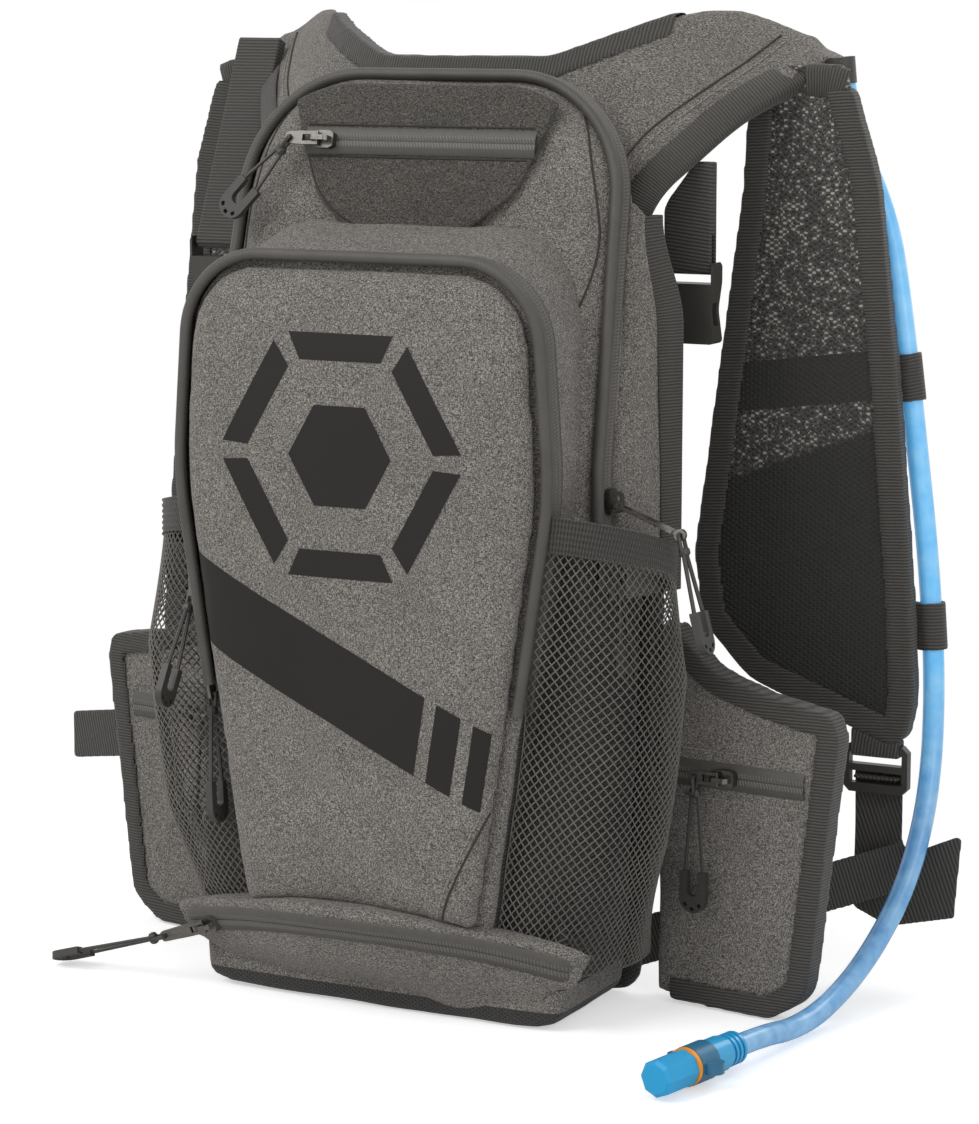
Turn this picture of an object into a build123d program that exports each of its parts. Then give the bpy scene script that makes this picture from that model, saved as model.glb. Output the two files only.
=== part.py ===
from build123d import *
import os
from math import cos, sin, tan, radians

# Hydration pack: a vest-type rucksack that holds a water bladder.
# Millimetres.  X runs across the pack, the front pocket faces -Y, the wearer's
# back is on +Y, and Z is up.  The origin is the middle of the base, on the floor.

os.makedirs("parts", exist_ok=True)

# ---------------------------------------------------------------- driving sizes
main_base_half = 98.0        # half width of the main compartment at the base
main_widest_half = 106.0     # half width where it is widest
main_widest_z = 215.0
main_top_half = 97.0         # half width where the sides meet the top arch
main_top_z = 440.0
main_top_corner = 58.0       # radius of the top arch's corners
back_face_y = 38.0           # the back panel's front face
seam_base_y = -22.0          # main zip line: at the base, at its knee, at the top
seam_knee_y = -6.0
seam_knee_z = 262.0
seam_top_y = 37.0
shell_depth = 17.0           # from the main zip line forward to the front shell
fabric_wall = 3.0            # padded wall of the compartments

front_base_half = 65.0       # front pocket
front_base_z = 40.0
front_foot_corner = 6.0
front_widest_half = 97.5
front_widest_z = 255.0
front_top_half = 90.0
front_top_z = 359.0
front_zip_end_z = 150.0      # the front zip and its piping stop here on both sides
front_edge_y = -50.0         # where the gusset meets the front panel
front_crown = 14.0           # how far the padded front panel stands out

top_patch_low_z = 367.0      # small top pocket, under the arch
top_patch_low_half = 30.0
top_patch_half = 66.0        # half width at its zip
top_patch_margin = 3.0       # from the arch's edge
top_patch_thick = 4.0
top_zip_z = 409.0

tape_width = 13.0            # zip tapes with their coil
tape_thick = 1.6
piping_radius = 3.0

chin_half = 116.0            # bottom pocket
chin_front_y = -75.0
chin_foot_half = 80.0
chin_foot_y = -43.0
chin_mid_z = 54.0
chin_end_z = 31.0

panel_half = main_widest_half + 6.0   # back panel
panel_thick = 8.0
panel_top_z = 366.0
panel_base_half = 100.0
pad_thick = 7.0

yoke_thick = 9.0
neck_z = 447.0
shoulder_z = 470.0
neck_half = 93.0
shoulder_half = 150.0

strap_thick = 7.0            # shoulder straps
strap_y = 118.0
strap_foot_z = 118.0
binding_width = 10.0
binding_wrap = 1.2

net_wall = 2.2               # side mesh pockets
net_front_y = -28.0
net_back_y = 36.0
net_base_z = 24.0
net_front_top_z = 240.0
net_back_top_z = 216.0
hem_height = 16.0

wing_thick = 10.0            # hip wings
wing_right_sweep = -7.0      # degrees: forward on the right, folded back on the left
wing_left_sweep = 11.0
wing_zip_z = 114.0

webbing_width = 25.0
webbing_thick = 1.5

hose_diameter = 10.4
valve_axis_z = 10.0
gap = 0.3                    # running clearance between separate soft bodies

written = {}


def save(name, shape):
    """Write one node as a STEP file and remember it."""
    shape.label = name
    export_step(shape, f"parts/{name}.step")
    written[name] = shape


def loop_face(points, radii):
    """Flat face inside a closed line of points; each corner rounded by its radius."""
    return make_face(FilletPolyline(*points, radius=radii, close=True))


def mirrored(points):
    """A half outline, listed from the bottom middle up, closed by its mirror image."""
    return points + [(-x, z) for x, z in reversed(points)]


def across(points, radii, y_from, y_to):
    """Outline in X and Z carried along Y."""
    face = loop_face([(x, y_from, z) for x, z in points], radii)
    return extrude(face, amount=y_to - y_from, dir=(0, 1, 0))


def sideways(points, radii=0, half=300.0):
    """Profile in Y and Z carried along X, on both sides of the middle."""
    face = loop_face([(-half, y, z) for y, z in points], radii)
    return extrude(face, amount=2 * half, dir=(1, 0, 0))


def mirrored_part(shape):
    """The left-hand copy of a right-hand part."""
    return mirror(shape, about=Plane.YZ)


def pair(shape):
    """A right-hand part and its left-hand copy, as two solids of one node."""
    return Compound(children=shape.solids() + mirrored_part(shape).solids())


def one(shape):
    """The single solid of a result."""
    solids = shape.solids()
    return solids[0] if len(solids) == 1 else Compound(children=solids)


# ------------------------------------------------------- outlines of the pouches
def main_outline(inset=0.0):
    points = mirrored([(main_base_half - inset, inset),
                       (main_widest_half - inset, main_widest_z),
                       (main_top_half - inset, main_top_z - inset)])
    corner = main_top_corner - inset
    return points, [26 - inset, 120, corner, corner, 120, 26 - inset]


def front_outline(inset=0.0):
    points = mirrored([(front_base_half - inset, front_base_z + inset),
                       (front_widest_half - inset, front_widest_z),
                       (front_top_half - inset, front_top_z - inset)])
    top = 40 - inset
    foot = max(front_foot_corner - inset, 0.0)
    return points, [foot, 150, top, top, 150, foot]


def seam_line(forward=0.0):
    """Y and Z of the main zip's line, moved forward by an amount."""
    return [(seam_base_y - forward, -1.0),
            (seam_knee_y - forward, seam_knee_z),
            (seam_top_y - forward, main_top_z + 2.0)]


def front_side_x(z):
    """Half width of the front pocket at a height below its widest line."""
    rise = (z - front_base_z) / (front_widest_z - front_base_z)
    return front_base_half + (front_widest_half - front_base_half) * rise


def slab(front, back):
    """Space between the zip line moved forward by front and by back."""
    near = seam_line(front)
    far = seam_line(back)
    return sideways(near + far[::-1], [0, 150, 0, 0, 150, 0])


def behind_seam(forward, back_y):
    """Space from the zip line, moved forward, to the back panel."""
    near = seam_line(forward)
    return sideways(near + [(back_y, near[2][1]), (back_y, near[0][1])],
                    [0, 150, 0, 0, 0])


def seam_y(z, forward=0.0):
    """Y of the zip line at a height, above or below its knee."""
    low, knee, high = seam_line(forward)
    a, b = (low, knee) if z < knee[1] else (knee, high)
    return a[0] + (b[0] - a[0]) * (z - a[1]) / (b[1] - a[1])


def under_arch(drop):
    """Space under the arched top edge of the bottom pocket, lowered by a drop."""
    reach = chin_half + 20
    end_z = chin_end_z - 7 - drop
    arch = ThreePointArc((-reach, -90, end_z), (0, -90, chin_mid_z - drop),
                         (reach, -90, end_z))
    sides = Polyline((reach, -90, end_z), (reach, -90, -10),
                     (-reach, -90, -10), (-reach, -90, end_z))
    return extrude(make_face(arch + sides), amount=120, dir=(0, 1, 0))


def main_volume(inset):
    points, radii = main_outline(inset)
    body = across(points, radii, -80, back_face_y)
    return body & behind_seam(shell_depth - inset, back_face_y - inset)


def front_volume(inset):
    points, radii = front_outline(inset)
    body = across(points, radii, front_edge_y + inset, 40)
    return body - behind_seam(shell_depth + inset, 60) - under_arch(-gap - inset)


# ------------------------------------------------------------- main compartment
def main_tape():
    """The zip runs up the right side, round the arch and down the left."""
    points, radii = main_outline()
    inner, inner_radii = main_outline(tape_thick)
    ring = across(points, radii, -80, 60) - across(inner, inner_radii, -80, 60)
    band = slab(tape_width / 2, -tape_width / 2)
    above = Pos(0, 0, net_back_top_z + 300) * Box(400, 300, 600)
    return one(ring & band & above)


zip_tape_main = main_tape()
main_compartment = one(main_volume(0.0) - zip_tape_main - main_volume(fabric_wall))
save("main_compartment", main_compartment)
save("zip_tape_main", zip_tape_main)

# ridge of piping along the front edge of the main zip
wide_points, wide_radii = main_outline(-2.6)
plain_points, plain_radii = main_outline()
ridge = across(wide_points, wide_radii, -80, 60) - across(plain_points, plain_radii, -80, 60)
above_nets = Pos(0, 0, net_front_top_z + 2 + 300) * Box(400, 300, 600)
piping_main = one(ridge & slab(tape_width / 2 + 4.4, tape_width / 2) & above_nets)
save("piping_main", piping_main)

# ------------------------------------------------------------------ front pocket
def front_tape():
    """Band of zip round the gusset, just behind the piping."""
    points, radii = front_outline()
    inner, inner_radii = front_outline(tape_thick)
    start = front_edge_y + 1.0
    ring = across(points, radii, start, start + tape_width)
    ring = ring - across(inner, inner_radii, start - 1, start + tape_width + 1)
    above = Pos(0, 0, front_zip_end_z + 200) * Box(400, 300, 400)
    return one(ring & above)


def front_section(scale, y):
    """The panel's outline, shrunk about its middle, at a depth."""
    points, radii = front_outline(piping_radius + 0.1)
    middle = (front_base_z + front_top_z) / 2
    shrunk = [(x * scale, y, middle + (z - middle) * scale) for x, z in points]
    return loop_face(shrunk, [r * scale for r in radii])


zip_tape_front = front_tape()
front_pocket = one(front_volume(0.0) - zip_tape_front - front_volume(fabric_wall))
save("front_pocket", front_pocket)
save("zip_tape_front", zip_tape_front)

crown = [(1.0, 0.0), (0.985, 0.38), (0.93, 0.68), (0.8, 0.88), (0.55, 1.0)]
front_panel = loft([front_section(scale, front_edge_y - rise * front_crown)
                    for scale, rise in crown], ruled=True)
save("front_panel", one(front_panel - under_arch(-gap)))

edge_points, edge_radii = front_outline()
end_half = front_side_x(front_zip_end_z)
edge_points = [(end_half, front_zip_end_z)] + edge_points[1:-1] + [(-end_half, front_zip_end_z)]
edge_path = FilletPolyline(*[(x, front_edge_y - piping_radius - 0.05, z)
                             for x, z in edge_points], radius=edge_radii[1:-1])
edge_octagon = Plane(origin=edge_path @ 0, z_dir=edge_path % 0) * RegularPolygon(piping_radius, 8)
save("piping_front", one(sweep(edge_octagon, path=edge_path)))

# -------------------------------------------------------------------- top pocket
def top_patch(inset, front, back):
    """Shape that widens upwards and follows the arch, between two depths before the shell."""
    points = mirrored([(top_patch_low_half - inset, top_patch_low_z + inset),
                       (top_patch_half - 8 - inset, top_patch_low_z + 19),
                       (top_patch_half - inset, top_zip_z - 5),
                       (top_patch_half + 18 - inset, main_top_z + 20)])
    arch, radii = main_outline(top_patch_margin + inset)
    shape = across(points, [12, 24, 50, 0, 0, 50, 24, 12], -80, 60)
    shape = shape & across(arch, radii, -80, 60)
    return shape & slab(shell_depth + front, shell_depth + back)


zip_height = Pos(0, 0, top_zip_z) * Box(300, 300, tape_width)
patch_face = top_patch_thick
save("top_pocket", one(top_patch(0, patch_face, 0)))
save("zip_tape_top", one(top_patch(1.0, patch_face + tape_thick, patch_face) & zip_height))

# ----------------------------------------------------------------- bottom pocket
def crescent(half, front_y, back_y, z, grow=0.0):
    """Crescent in plan: a bowed front and a straight back."""
    bow = ThreePointArc((-half - grow, back_y, z), (0, front_y - grow, z),
                        (half + grow, back_y, z))
    back = Line((half + grow, back_y, z), (-half - grow, back_y, z))
    return make_face(bow + back)


def chin_loft(grow=0.0):
    top = chin_mid_z + 8
    back_y = seam_y(top, shell_depth) - 0.2
    foot_back = seam_y(0, shell_depth) - 0.2
    body = loft([crescent(chin_foot_half, chin_foot_y, foot_back, 0, grow),
                 crescent(chin_half, chin_front_y, back_y, top, grow)])
    return body - behind_seam(shell_depth, 60)


chin_skin = chin_loft(tape_thick) - chin_loft()
zip_tape_bottom = chin_skin & (under_arch(2.0) - under_arch(2.0 + tape_width))
save("bottom_pocket", one(chin_loft() & under_arch(0)))
save("zip_tape_bottom", one(zip_tape_bottom))

# -------------------------------------------------------------------- back panel
panel_points = mirrored([(panel_base_half, 0), (panel_half, 70),
                         (panel_half, 300), (100, panel_top_z)])
back_panel = across(panel_points, [14, 60, 80, 6, 6, 80, 60, 14],
                    back_face_y, back_face_y + panel_thick)
save("back_panel", one(back_panel))

pad_back_y = back_face_y + panel_thick
pads = []
for side in (-1, 1):
    for low, high in ((34, 150), (166, 282)):
        corners = [(side * 12, low), (side * 86, low), (side * 86, high), (side * 12, high)]
        pad = across(corners, [16] * 4, pad_back_y, pad_back_y + pad_thick)
        pads.append(chamfer(pad.faces().sort_by(Axis.Y)[-1].edges(), 3))
save("back_pads", Compound(children=[one(p) for p in pads]))

# -------------------------------------------------------------------------- yoke
def yoke_section(x, front):
    """Section of the yoke at one distance across: a band that leans back."""
    back = [(y + yoke_thick, z - 1.5) for y, z in front[::-1]]
    return make_face(Polyline(*[(x, y, z) for y, z in front + back], close=True))


middle_line = [(back_face_y, 360), (38.5, 405), (43, 432), (56, 460)]
inner_line = [(back_face_y, 360), (40, 403), (50, 433), (72, 470)]
neck_line = [(42, 360), (53, 400), (74, 434), (108, 474)]
outer_line = [(78, 378), (94, 408), (107, 434), (117, 466)]
yoke_sections = [yoke_section(-172, outer_line), yoke_section(-104, neck_line),
                 yoke_section(-58, inner_line), yoke_section(0, middle_line),
                 yoke_section(58, inner_line), yoke_section(104, neck_line),
                 yoke_section(172, outer_line)]
yoke_cloth = loft(yoke_sections)
yoke_points = [(96, panel_top_z + 0.2), (101, 381), (134, 424), (161, 447),
               (176, 449), (166, 463), (shoulder_half, shoulder_z),
               (neck_half + 6, shoulder_z), (neck_half - 12, 462), (46, neck_z),
               (-46, neck_z), (12 - neck_half, 462), (-6 - neck_half, shoulder_z),
               (24 - shoulder_half, shoulder_z), (-147, 463), (-158, 449),
               (-150, 443), (-129, 424), (-101, 381), (-96, panel_top_z + 0.2)]
yoke_radii = [4, 20, 60, 8, 8, 10, 10, 8, 30, 30]
yoke_radii = yoke_radii + yoke_radii[::-1]
yoke_prism = across(yoke_points, yoke_radii, 20, 140)
main_room = main_volume(-0.2)
shoulder_yoke = one(yoke_cloth & yoke_prism)
save("shoulder_yoke", shoulder_yoke)


# ---------------------------------------------------------------- shoulder straps
def strap_outline():
    """Right strap: the inner edge down from the shoulder, then the outer edge up."""
    return [(126, 445), (122, 389), (108, 282), (98, 205), (103, 172), (128, strap_foot_z + 28),
            (206, strap_foot_z), (211, 140), (208, 191), (199, 287), (187, 391), (170, 445)]


strap_radii = [2, 150, 300, 30, 20, 30, 8, 60, 150, 300, 60, 2]
strap_side = [(strap_y - 4, 470), (strap_y - 2, 300), (strap_y - 4, 90)]


def strap_slab(wrap):
    front = [(y - wrap, z) for y, z in strap_side]
    back = [(y + strap_thick + wrap, z) for y, z in strap_side[::-1]]
    return sideways(front + back, [0, 400, 0, 0, 400, 0])


def right_strap():
    body = across(strap_outline(), strap_radii, 90, 160) & strap_slab(0)
    return one(body - shoulder_yoke)


def strap_edges(strap):
    """Woven binding folded round the strap's long edges and foot."""
    face = loop_face([(x, 90, z) for x, z in strap_outline()], strap_radii)
    wide = extrude(offset(face, amount=binding_wrap, kind=Kind.INTERSECTION),
                   amount=70, dir=(0, 1, 0))
    inner = extrude(offset(face, amount=-binding_width, kind=Kind.INTERSECTION),
                    amount=70, dir=(0, 1, 0))
    below = Pos(150, 120, 432 - 250) * Box(300, 200, 500)
    return one(((wide - inner) & strap_slab(binding_wrap) & below) - strap - yoke_room)


yoke_room = Pos(0, gap, 0) * shoulder_yoke
strap_right = right_strap()
strap_binding = strap_edges(strap_right)
save("shoulder_strap_right", strap_right)
save("shoulder_strap_left", mirrored_part(strap_right))

# ------------------------------------------------------------ side mesh pockets
def net_level(z, bulge, bulge_y, wall):
    """Points of one level: front end, fullest point (out from the body), back end."""
    front_x = max(front_side_x(z), front_base_half) + gap
    lean = 7 * (net_front_top_z - z) / net_front_top_z
    full_x = main_widest_half + bulge - wall
    return [(front_x, net_front_y - lean + wall, z), (full_x, bulge_y, z),
            (main_widest_half + 4 - wall, net_back_y - wall, z)]


net_levels = [(net_base_z, 2, -8), (84, 24, -8), (165, 36, -8), (246, 24, -8)]


def net_section(level, outside, inside):
    """Closed line of the wall at one level, between two depths."""
    z, bulge, bulge_y = level
    outer = net_level(z, bulge, bulge_y, -outside)
    inner = net_level(z, bulge, bulge_y, inside)
    return make_face(ThreePointArc(*outer) + Line(outer[2], inner[2])
                     + ThreePointArc(*inner[::-1]) + Line(inner[0], outer[0]))


def net_cloth(outside, inside):
    return loft([net_section(level, outside, inside) for level in net_levels], ruled=True)


def net_floor():
    z, bulge, bulge_y = net_levels[0]
    outer = net_level(z, bulge, bulge_y, 0)
    face = make_face(ThreePointArc(*outer) + Line(outer[2], outer[0]))
    return extrude(face, amount=net_wall, dir=(0, 0, 1))


def below_hem(drop):
    """Space under the hem's sloping top edge, lowered by a drop."""
    return sideways([(-80, -5), (-80, net_front_top_z + 14 - drop),
                     (net_back_y + 20, net_back_top_z - 6 - drop), (net_back_y + 20, -5)],
                    [0, 0, 0, 0])


solid_body = main_volume(-0.2) + front_volume(-0.2) + back_panel
chin_room = chin_loft(tape_thick + gap) & under_arch(-gap)
net_right = (net_cloth(0, net_wall) & below_hem(hem_height)) + net_floor()
net_right = one(net_right - solid_body - chin_room)
hem_right = net_cloth(0.8, net_wall) & (below_hem(0) - below_hem(hem_height))
hem_right = one(hem_right - solid_body)
save("mesh_pocket_right", net_right)
save("mesh_pocket_left", mirrored_part(net_right))
save("pocket_hems", pair(hem_right))

# -------------------------------------------------------------------- hip wings
wing_points = [(0, 3), (0, 192), (14, 176), (30, 162), (60, 153), (92, 148), (95, 138),
               (80, 13), (62, 1.8)]
wing_radii = [1, 3, 30, 40, 80, 5, 6, 18, 10]


def wing_plate(points, radii, front, back):
    """Outline along the wing and Z, carried through a depth, before it is turned."""
    face = loop_face([(s, front, z) for s, z in points], radii)
    return extrude(face, amount=back - front, dir=(0, 1, 0))


def wing_binding(wrap):
    face = loop_face([(s, -wrap, z) for s, z in wing_points], wing_radii)
    wide = extrude(offset(face, amount=wrap, kind=Kind.INTERSECTION),
                   amount=wing_thick + 2 * wrap, dir=(0, 1, 0))
    inner = Pos(0, -30, 0) * extrude(offset(face, amount=-8, kind=Kind.INTERSECTION),
                                     amount=80, dir=(0, 1, 0))
    beyond = Pos(109, 0, 100.3) * Box(200, 100, 200)
    plate = wing_plate(wing_points, wing_radii, 0, wing_thick)
    return one(((wide - inner) & beyond) - plate)


def wing_tape():
    low = wing_zip_z - tape_width / 2
    high = wing_zip_z + tape_width / 2
    band = [(3, low), (3, high), (80, high), (80, low)]
    return one(wing_plate(band, [2] * 4, -tape_thick, 0))


def placed_wing(piece, sweep):
    """Turn a right-hand wing piece about its seam on the back panel's edge."""
    set_off = max(0.0, wing_thick * sin(radians(sweep)))
    root = Pos(panel_half + 2 * gap + set_off, back_face_y - 1.0, 0)
    return root * Rot(0, 0, sweep) * piece


def both_wings(piece):
    right = placed_wing(piece, wing_right_sweep)
    left = mirrored_part(placed_wing(piece, wing_left_sweep))
    return right, left


wing_right, wing_left = both_wings(one(wing_plate(wing_points, wing_radii, 0, wing_thick)))
save("hip_wing_right", wing_right)
save("hip_wing_left", wing_left)
save("zip_tapes_hip", Compound(children=list(both_wings(wing_tape()))))
wing_bindings = list(both_wings(wing_binding(binding_wrap)))

# ------------------------------------------- chest buckles and strap adjusters
buckle_right_at = (112.0, 70.0, 350.0)   # the bar that each buckle hangs from
buckle_left_at = (-148.0, 70.0, 354.0)
bar_radius = 1.7


def female_buckle():
    """Socket half of a side-release buckle, hanging from its bar at the origin."""
    half = webbing_width / 2
    outline = [(half + 2.5, -36), (half + 0.2, -20), (half + 2.0, -7), (half + 2.0, 3),
               (-half - 2.0, 3), (-half - 2.0, -7), (-half - 0.2, -20), (-half - 2.5, -36)]
    body = across(outline, [2, 20, 20, 3, 3, 20, 20, 2], -5.5, 5.5)
    mouth = Pos(0, 0, -25.5) * Box(webbing_width - 3, 6.6, 22)
    windows = Pos(0, 0, -22) * Box(webbing_width + 20, 5.0, 11)
    slot = Pos(0, 0, -3.6) * Box(webbing_width + 1.4, 20, 7.8)
    top = Pos(0, 0, 3) * Box(60, 20, 7)
    loop_room = Pos(0, 0, 2.2) * Box(webbing_width + 1.4, 20, 8)
    thin = slot + loop_room
    bar = Rot(0, 90, 0) * Cylinder(bar_radius, webbing_width + 4)
    return one((body - mouth - windows - thin) + bar)


def webbing_loop(rise, lean):
    """Webbing folded round the bar, both layers sewn together above, leaning back."""
    inner = bar_radius + gap
    outer = inner + webbing_thick
    wrap = Rot(0, 90, 0) * Cylinder(outer, webbing_width)
    sheet = Pos(0, 0, rise / 2) * Box(webbing_width, 2 * outer, rise)
    hollow = Rot(0, 90, 0) * Cylinder(inner, webbing_width + 2)
    hollow = hollow + Pos(0, 0, 8) * Box(webbing_width + 2, 2 * inner, 16)
    return Rot(-lean, 0, 0) * ((wrap + sheet) - hollow)


yoke_reach = across(yoke_points, yoke_radii, 20, 140)
loop_right = one(Pos(*buckle_right_at) * webbing_loop(50, 0) - shoulder_yoke - yoke_reach)
loop_left = Pos(*buckle_left_at) * webbing_loop(110, 24) - shoulder_yoke
loop_left = loop_left - mirrored_part(strap_right + strap_binding)
loop_left = loop_left.solids().sort_by(Axis.Z)[0]
save("chest_buckle_right", Pos(*buckle_right_at) * female_buckle())
save("chest_buckle_left", Pos(*buckle_left_at) * female_buckle())

adjuster_x = 193.0
adjuster_y = strap_y - 0.5
adjuster_z = strap_foot_z - 12.5
lock_thick = 5.0
lock_bar = 4.0


def ladder_lock():
    """Ladder lock: a frame with two slots and three bars."""
    frame = Box(webbing_width + 8, lock_thick, 24)
    frame = chamfer(frame.edges().filter_by(Axis.Y), 3)
    for z in (5.0, -4.5):
        frame = frame - Pos(0, 0, z) * Box(webbing_width + 2, 12, 6)
    return one(Pos(adjuster_x, adjuster_y, adjuster_z) * frame)


def lock_tab():
    """Loop sewn to the strap's foot that holds the lock's top bar."""
    bar_z = adjuster_z + 12 - lock_bar / 2
    inner_y = lock_thick + 2 * gap
    outer_y = inner_y + 2 * webbing_thick
    low = bar_z - lock_bar / 2 - gap - webbing_thick
    high = strap_foot_z + 20
    outer = Pos(adjuster_x, adjuster_y, (low + high) / 2)
    outer = outer * Box(webbing_width, outer_y, high - low)
    inner = Pos(adjuster_x, adjuster_y, bar_z)
    inner = inner * Box(webbing_width + 2, inner_y, lock_bar + 2 * gap)
    loop = outer - inner - strap_right - strap_binding
    return loop.solids().sort_by(SortBy.VOLUME)[-1]


def adjuster_strap():
    """Webbing from the back panel's foot to the lock, with a loose tail."""
    half = webbing_width / 2
    tail_y = adjuster_y + lock_thick / 2 + gap
    foot_x = panel_base_half - 2
    foot_y = back_face_y + panel_thick + 0.8
    run = Edge.make_line((foot_x, foot_y, 60), (adjuster_x + half, tail_y + 1, 60))
    plank = Pos(*(run @ 0.5)) * Rot(0, 0, run.tangent_angle_at(0))
    plank = plank * Box(run.length, webbing_thick, 200)
    shape = across([(foot_x - 4, 10), (adjuster_x + half + 4, 46),
                    (adjuster_x + half + 4, 46 + webbing_width),
                    (foot_x - 4, 10 + webbing_width)], [0] * 4, 30, 160)
    tail = across([(adjuster_x - half, 34), (adjuster_x + 6, 26), (adjuster_x + 40, 34),
                   (adjuster_x + 43, 76), (adjuster_x + half, 62),
                   (adjuster_x + half, adjuster_z + 1), (adjuster_x - half, adjuster_z + 1)],
                  [3, 8, 2, 2, 6, 1, 1], tail_y, tail_y + webbing_thick)
    bight = Pos(adjuster_x, adjuster_y + 0.9, adjuster_z - 4.5)
    bight = bight * Box(webbing_width - 2, lock_thick + 2, webbing_thick)
    return one((plank & shape) + tail + bight)


def hip_tab():
    """Folded webbing end that stands out of the wing's tip."""
    points = [(88, 84), (128, 78), (128, 78 + webbing_width), (88, 84 + webbing_width)]
    tab = wing_plate(points, [0, 2, 2, 0], wing_thick / 2 - webbing_thick, wing_thick / 2 + webbing_thick)
    wing = wing_plate(wing_points, wing_radii, 0, wing_thick)
    return one(tab - wing - wing_binding(binding_wrap))


save("strap_adjusters", pair(ladder_lock()))
tab_right = lock_tab()
adjuster_webbing = adjuster_strap()
hip_tab_left = one(placed_wing(hip_tab(), wing_left_sweep))
webbing = [loop_right, loop_left, tab_right, mirrored_part(tab_right), adjuster_webbing,
           mirrored_part(adjuster_webbing), mirrored_part(hip_tab_left)]
save("webbing_straps", Compound(children=[s for piece in webbing for s in piece.solids()]))


# -------------------------------------------------- bindings folded over the edges
def neck_binding():
    """Woven binding folded over the yoke's neckline."""
    inner_prism = across([(x * 0.985, z - 9) for x, z in yoke_points], yoke_radii, 20, 140)
    wrap = Pos(0, -binding_wrap, 0) * yoke_cloth + Pos(0, binding_wrap, 0) * yoke_cloth
    between = Pos(0, 70, 455) * Box(2 * neck_half, 200, 60)
    outline = across([(x, z + binding_wrap) for x, z in yoke_points], yoke_radii, 20, 140)
    return one((((wrap + yoke_cloth) & outline) - inner_prism & between)
               - shoulder_yoke - main_room)


neck = neck_binding()
bindings = pair(strap_binding).solids() + wing_bindings + [neck]
save("edge_bindings", Compound(children=[s for b in bindings for s in b.solids()]))

# --------------------------------------------------------- drinking hose and valve
hose_points = [(165, 127, 446), (170, 129, 412), (189, 131, 372), (197, 131, 326),
               (205, 131, 266), (213, 130.5, 206), (218, 129, 146), (220, 118, 94),
               (217, 97, 54), (209, 66, 24), (202, 31, 8.5), (197.5, 0, 6.0),
               (194, -26, valve_axis_z), (189.5, -48, valve_axis_z)]
hose_radius = hose_diameter / 2


def bend_radii(points):
    """Largest arc each corner allows: 0.45 of its shorter run."""
    radii = []
    for before, corner, after in zip(points, points[1:], points[2:]):
        back = Vector(*before) - Vector(*corner)
        ahead = Vector(*after) - Vector(*corner)
        turn = 180 - back.get_angle(ahead)
        radii.append(0.45 * min(back.length, ahead.length) / tan(radians(turn / 2)))
    return radii


hose_radii = bend_radii(hose_points)
print("hose radii", [round(r) for r in hose_radii])
hose_path = FilletPolyline(*hose_points, radius=hose_radii)
hose_start = Plane(origin=hose_path @ 0, z_dir=hose_path % 0)
drink_hose = one(sweep(hose_start * Circle(hose_radius), path=hose_path))
print("hose volume ratio", drink_hose.volume / (hose_path.length * 3.14159 * hose_radius ** 2))
print("hose length", hose_path.length)
save("drink_hose", drink_hose)

port_plane = Plane(origin=hose_path @ 0, z_dir=-(hose_path % 0))
hose_port = port_plane * Pos(0, 0, 8) * Cylinder(hose_radius + 2.5, 16)
save("hose_port", one(hose_port - shoulder_yoke - strap_right - strap_binding))


def keeper(low_index):
    """Elastic loop that holds the hose to the strap's edge."""
    a = Vector(*hose_points[low_index])
    b = Vector(*hose_points[low_index + 1])
    middle = Plane(origin=(a + b) * 0.5, z_dir=b - a)
    ring = middle * Cylinder(hose_radius + gap + 1.5, keeper_height)
    centre = (a + b) * 0.5
    back = strap_y + strap_thick - 2 + binding_wrap
    tab = Pos(centre.X - 5, (back + centre.Y) / 2, centre.Z)
    tab = tab * Box(14, centre.Y - back, keeper_height)
    bore = middle * Cylinder(hose_radius + gap, keeper_height * 3)
    return one((ring + tab) - bore - strap_right - strap_binding)


keeper_height = 23.0
save("hose_keepers", Compound(children=[keeper(3), keeper(5)]))

valve_out = hose_path % 1
valve_plane = Plane(origin=hose_path @ 1, x_dir=valve_out.cross(Vector(0, 0, 1)), z_dir=valve_out)
collar_start = 24.0
collar_length = 13.0
barrel_radius = 6.2
valve_body = Pos(0, 0, 6.5) * Cylinder(6.4, 13)
for rib in range(4):
    valve_body = valve_body + Pos(0, 0, 2 + rib * 3.2) * Cylinder(7.6, 1.7)
valve_body = valve_body + Pos(0, 0, 18.5) * Cylinder(8.2, 11)
valve_body = valve_body + Pos(0, 0, 34) * Cylinder(barrel_radius, 20)
save("valve_body", one(valve_plane * valve_body))

collar_shape = Cylinder(9.0, collar_length)
for side in (-1, 1):
    wing = Pos(side * 9.5, 0, 0) * Rot(90, 0, 0) * Cylinder(5.0, 5.0)
    collar_shape = collar_shape + wing
collar_shape = collar_shape - Cylinder(barrel_radius + 0.08, collar_length + 4)
collar_middle = collar_start + gap + collar_length / 2
save("shutoff_collar", one(valve_plane * Pos(0, 0, collar_middle) * collar_shape))

ring_start = collar_start + collar_length + 2 * gap
valve_ring = Cylinder(8.8, 2.4) - Cylinder(barrel_radius, 6)
save("valve_ring", one(valve_plane * Pos(0, 0, ring_start + 1.2) * valve_ring))

bite_start = ring_start + 2.4
bite = extrude(RegularPolygon(8.6, 8), amount=22)
bite = chamfer(bite.faces().sort_by(Axis.Z)[-1].edges(), 1.6)
bite = bite - Cylinder(barrel_radius, 2 * (44 - bite_start))
save("bite_valve", one(valve_plane * Pos(0, 0, bite_start) * bite))

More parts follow.
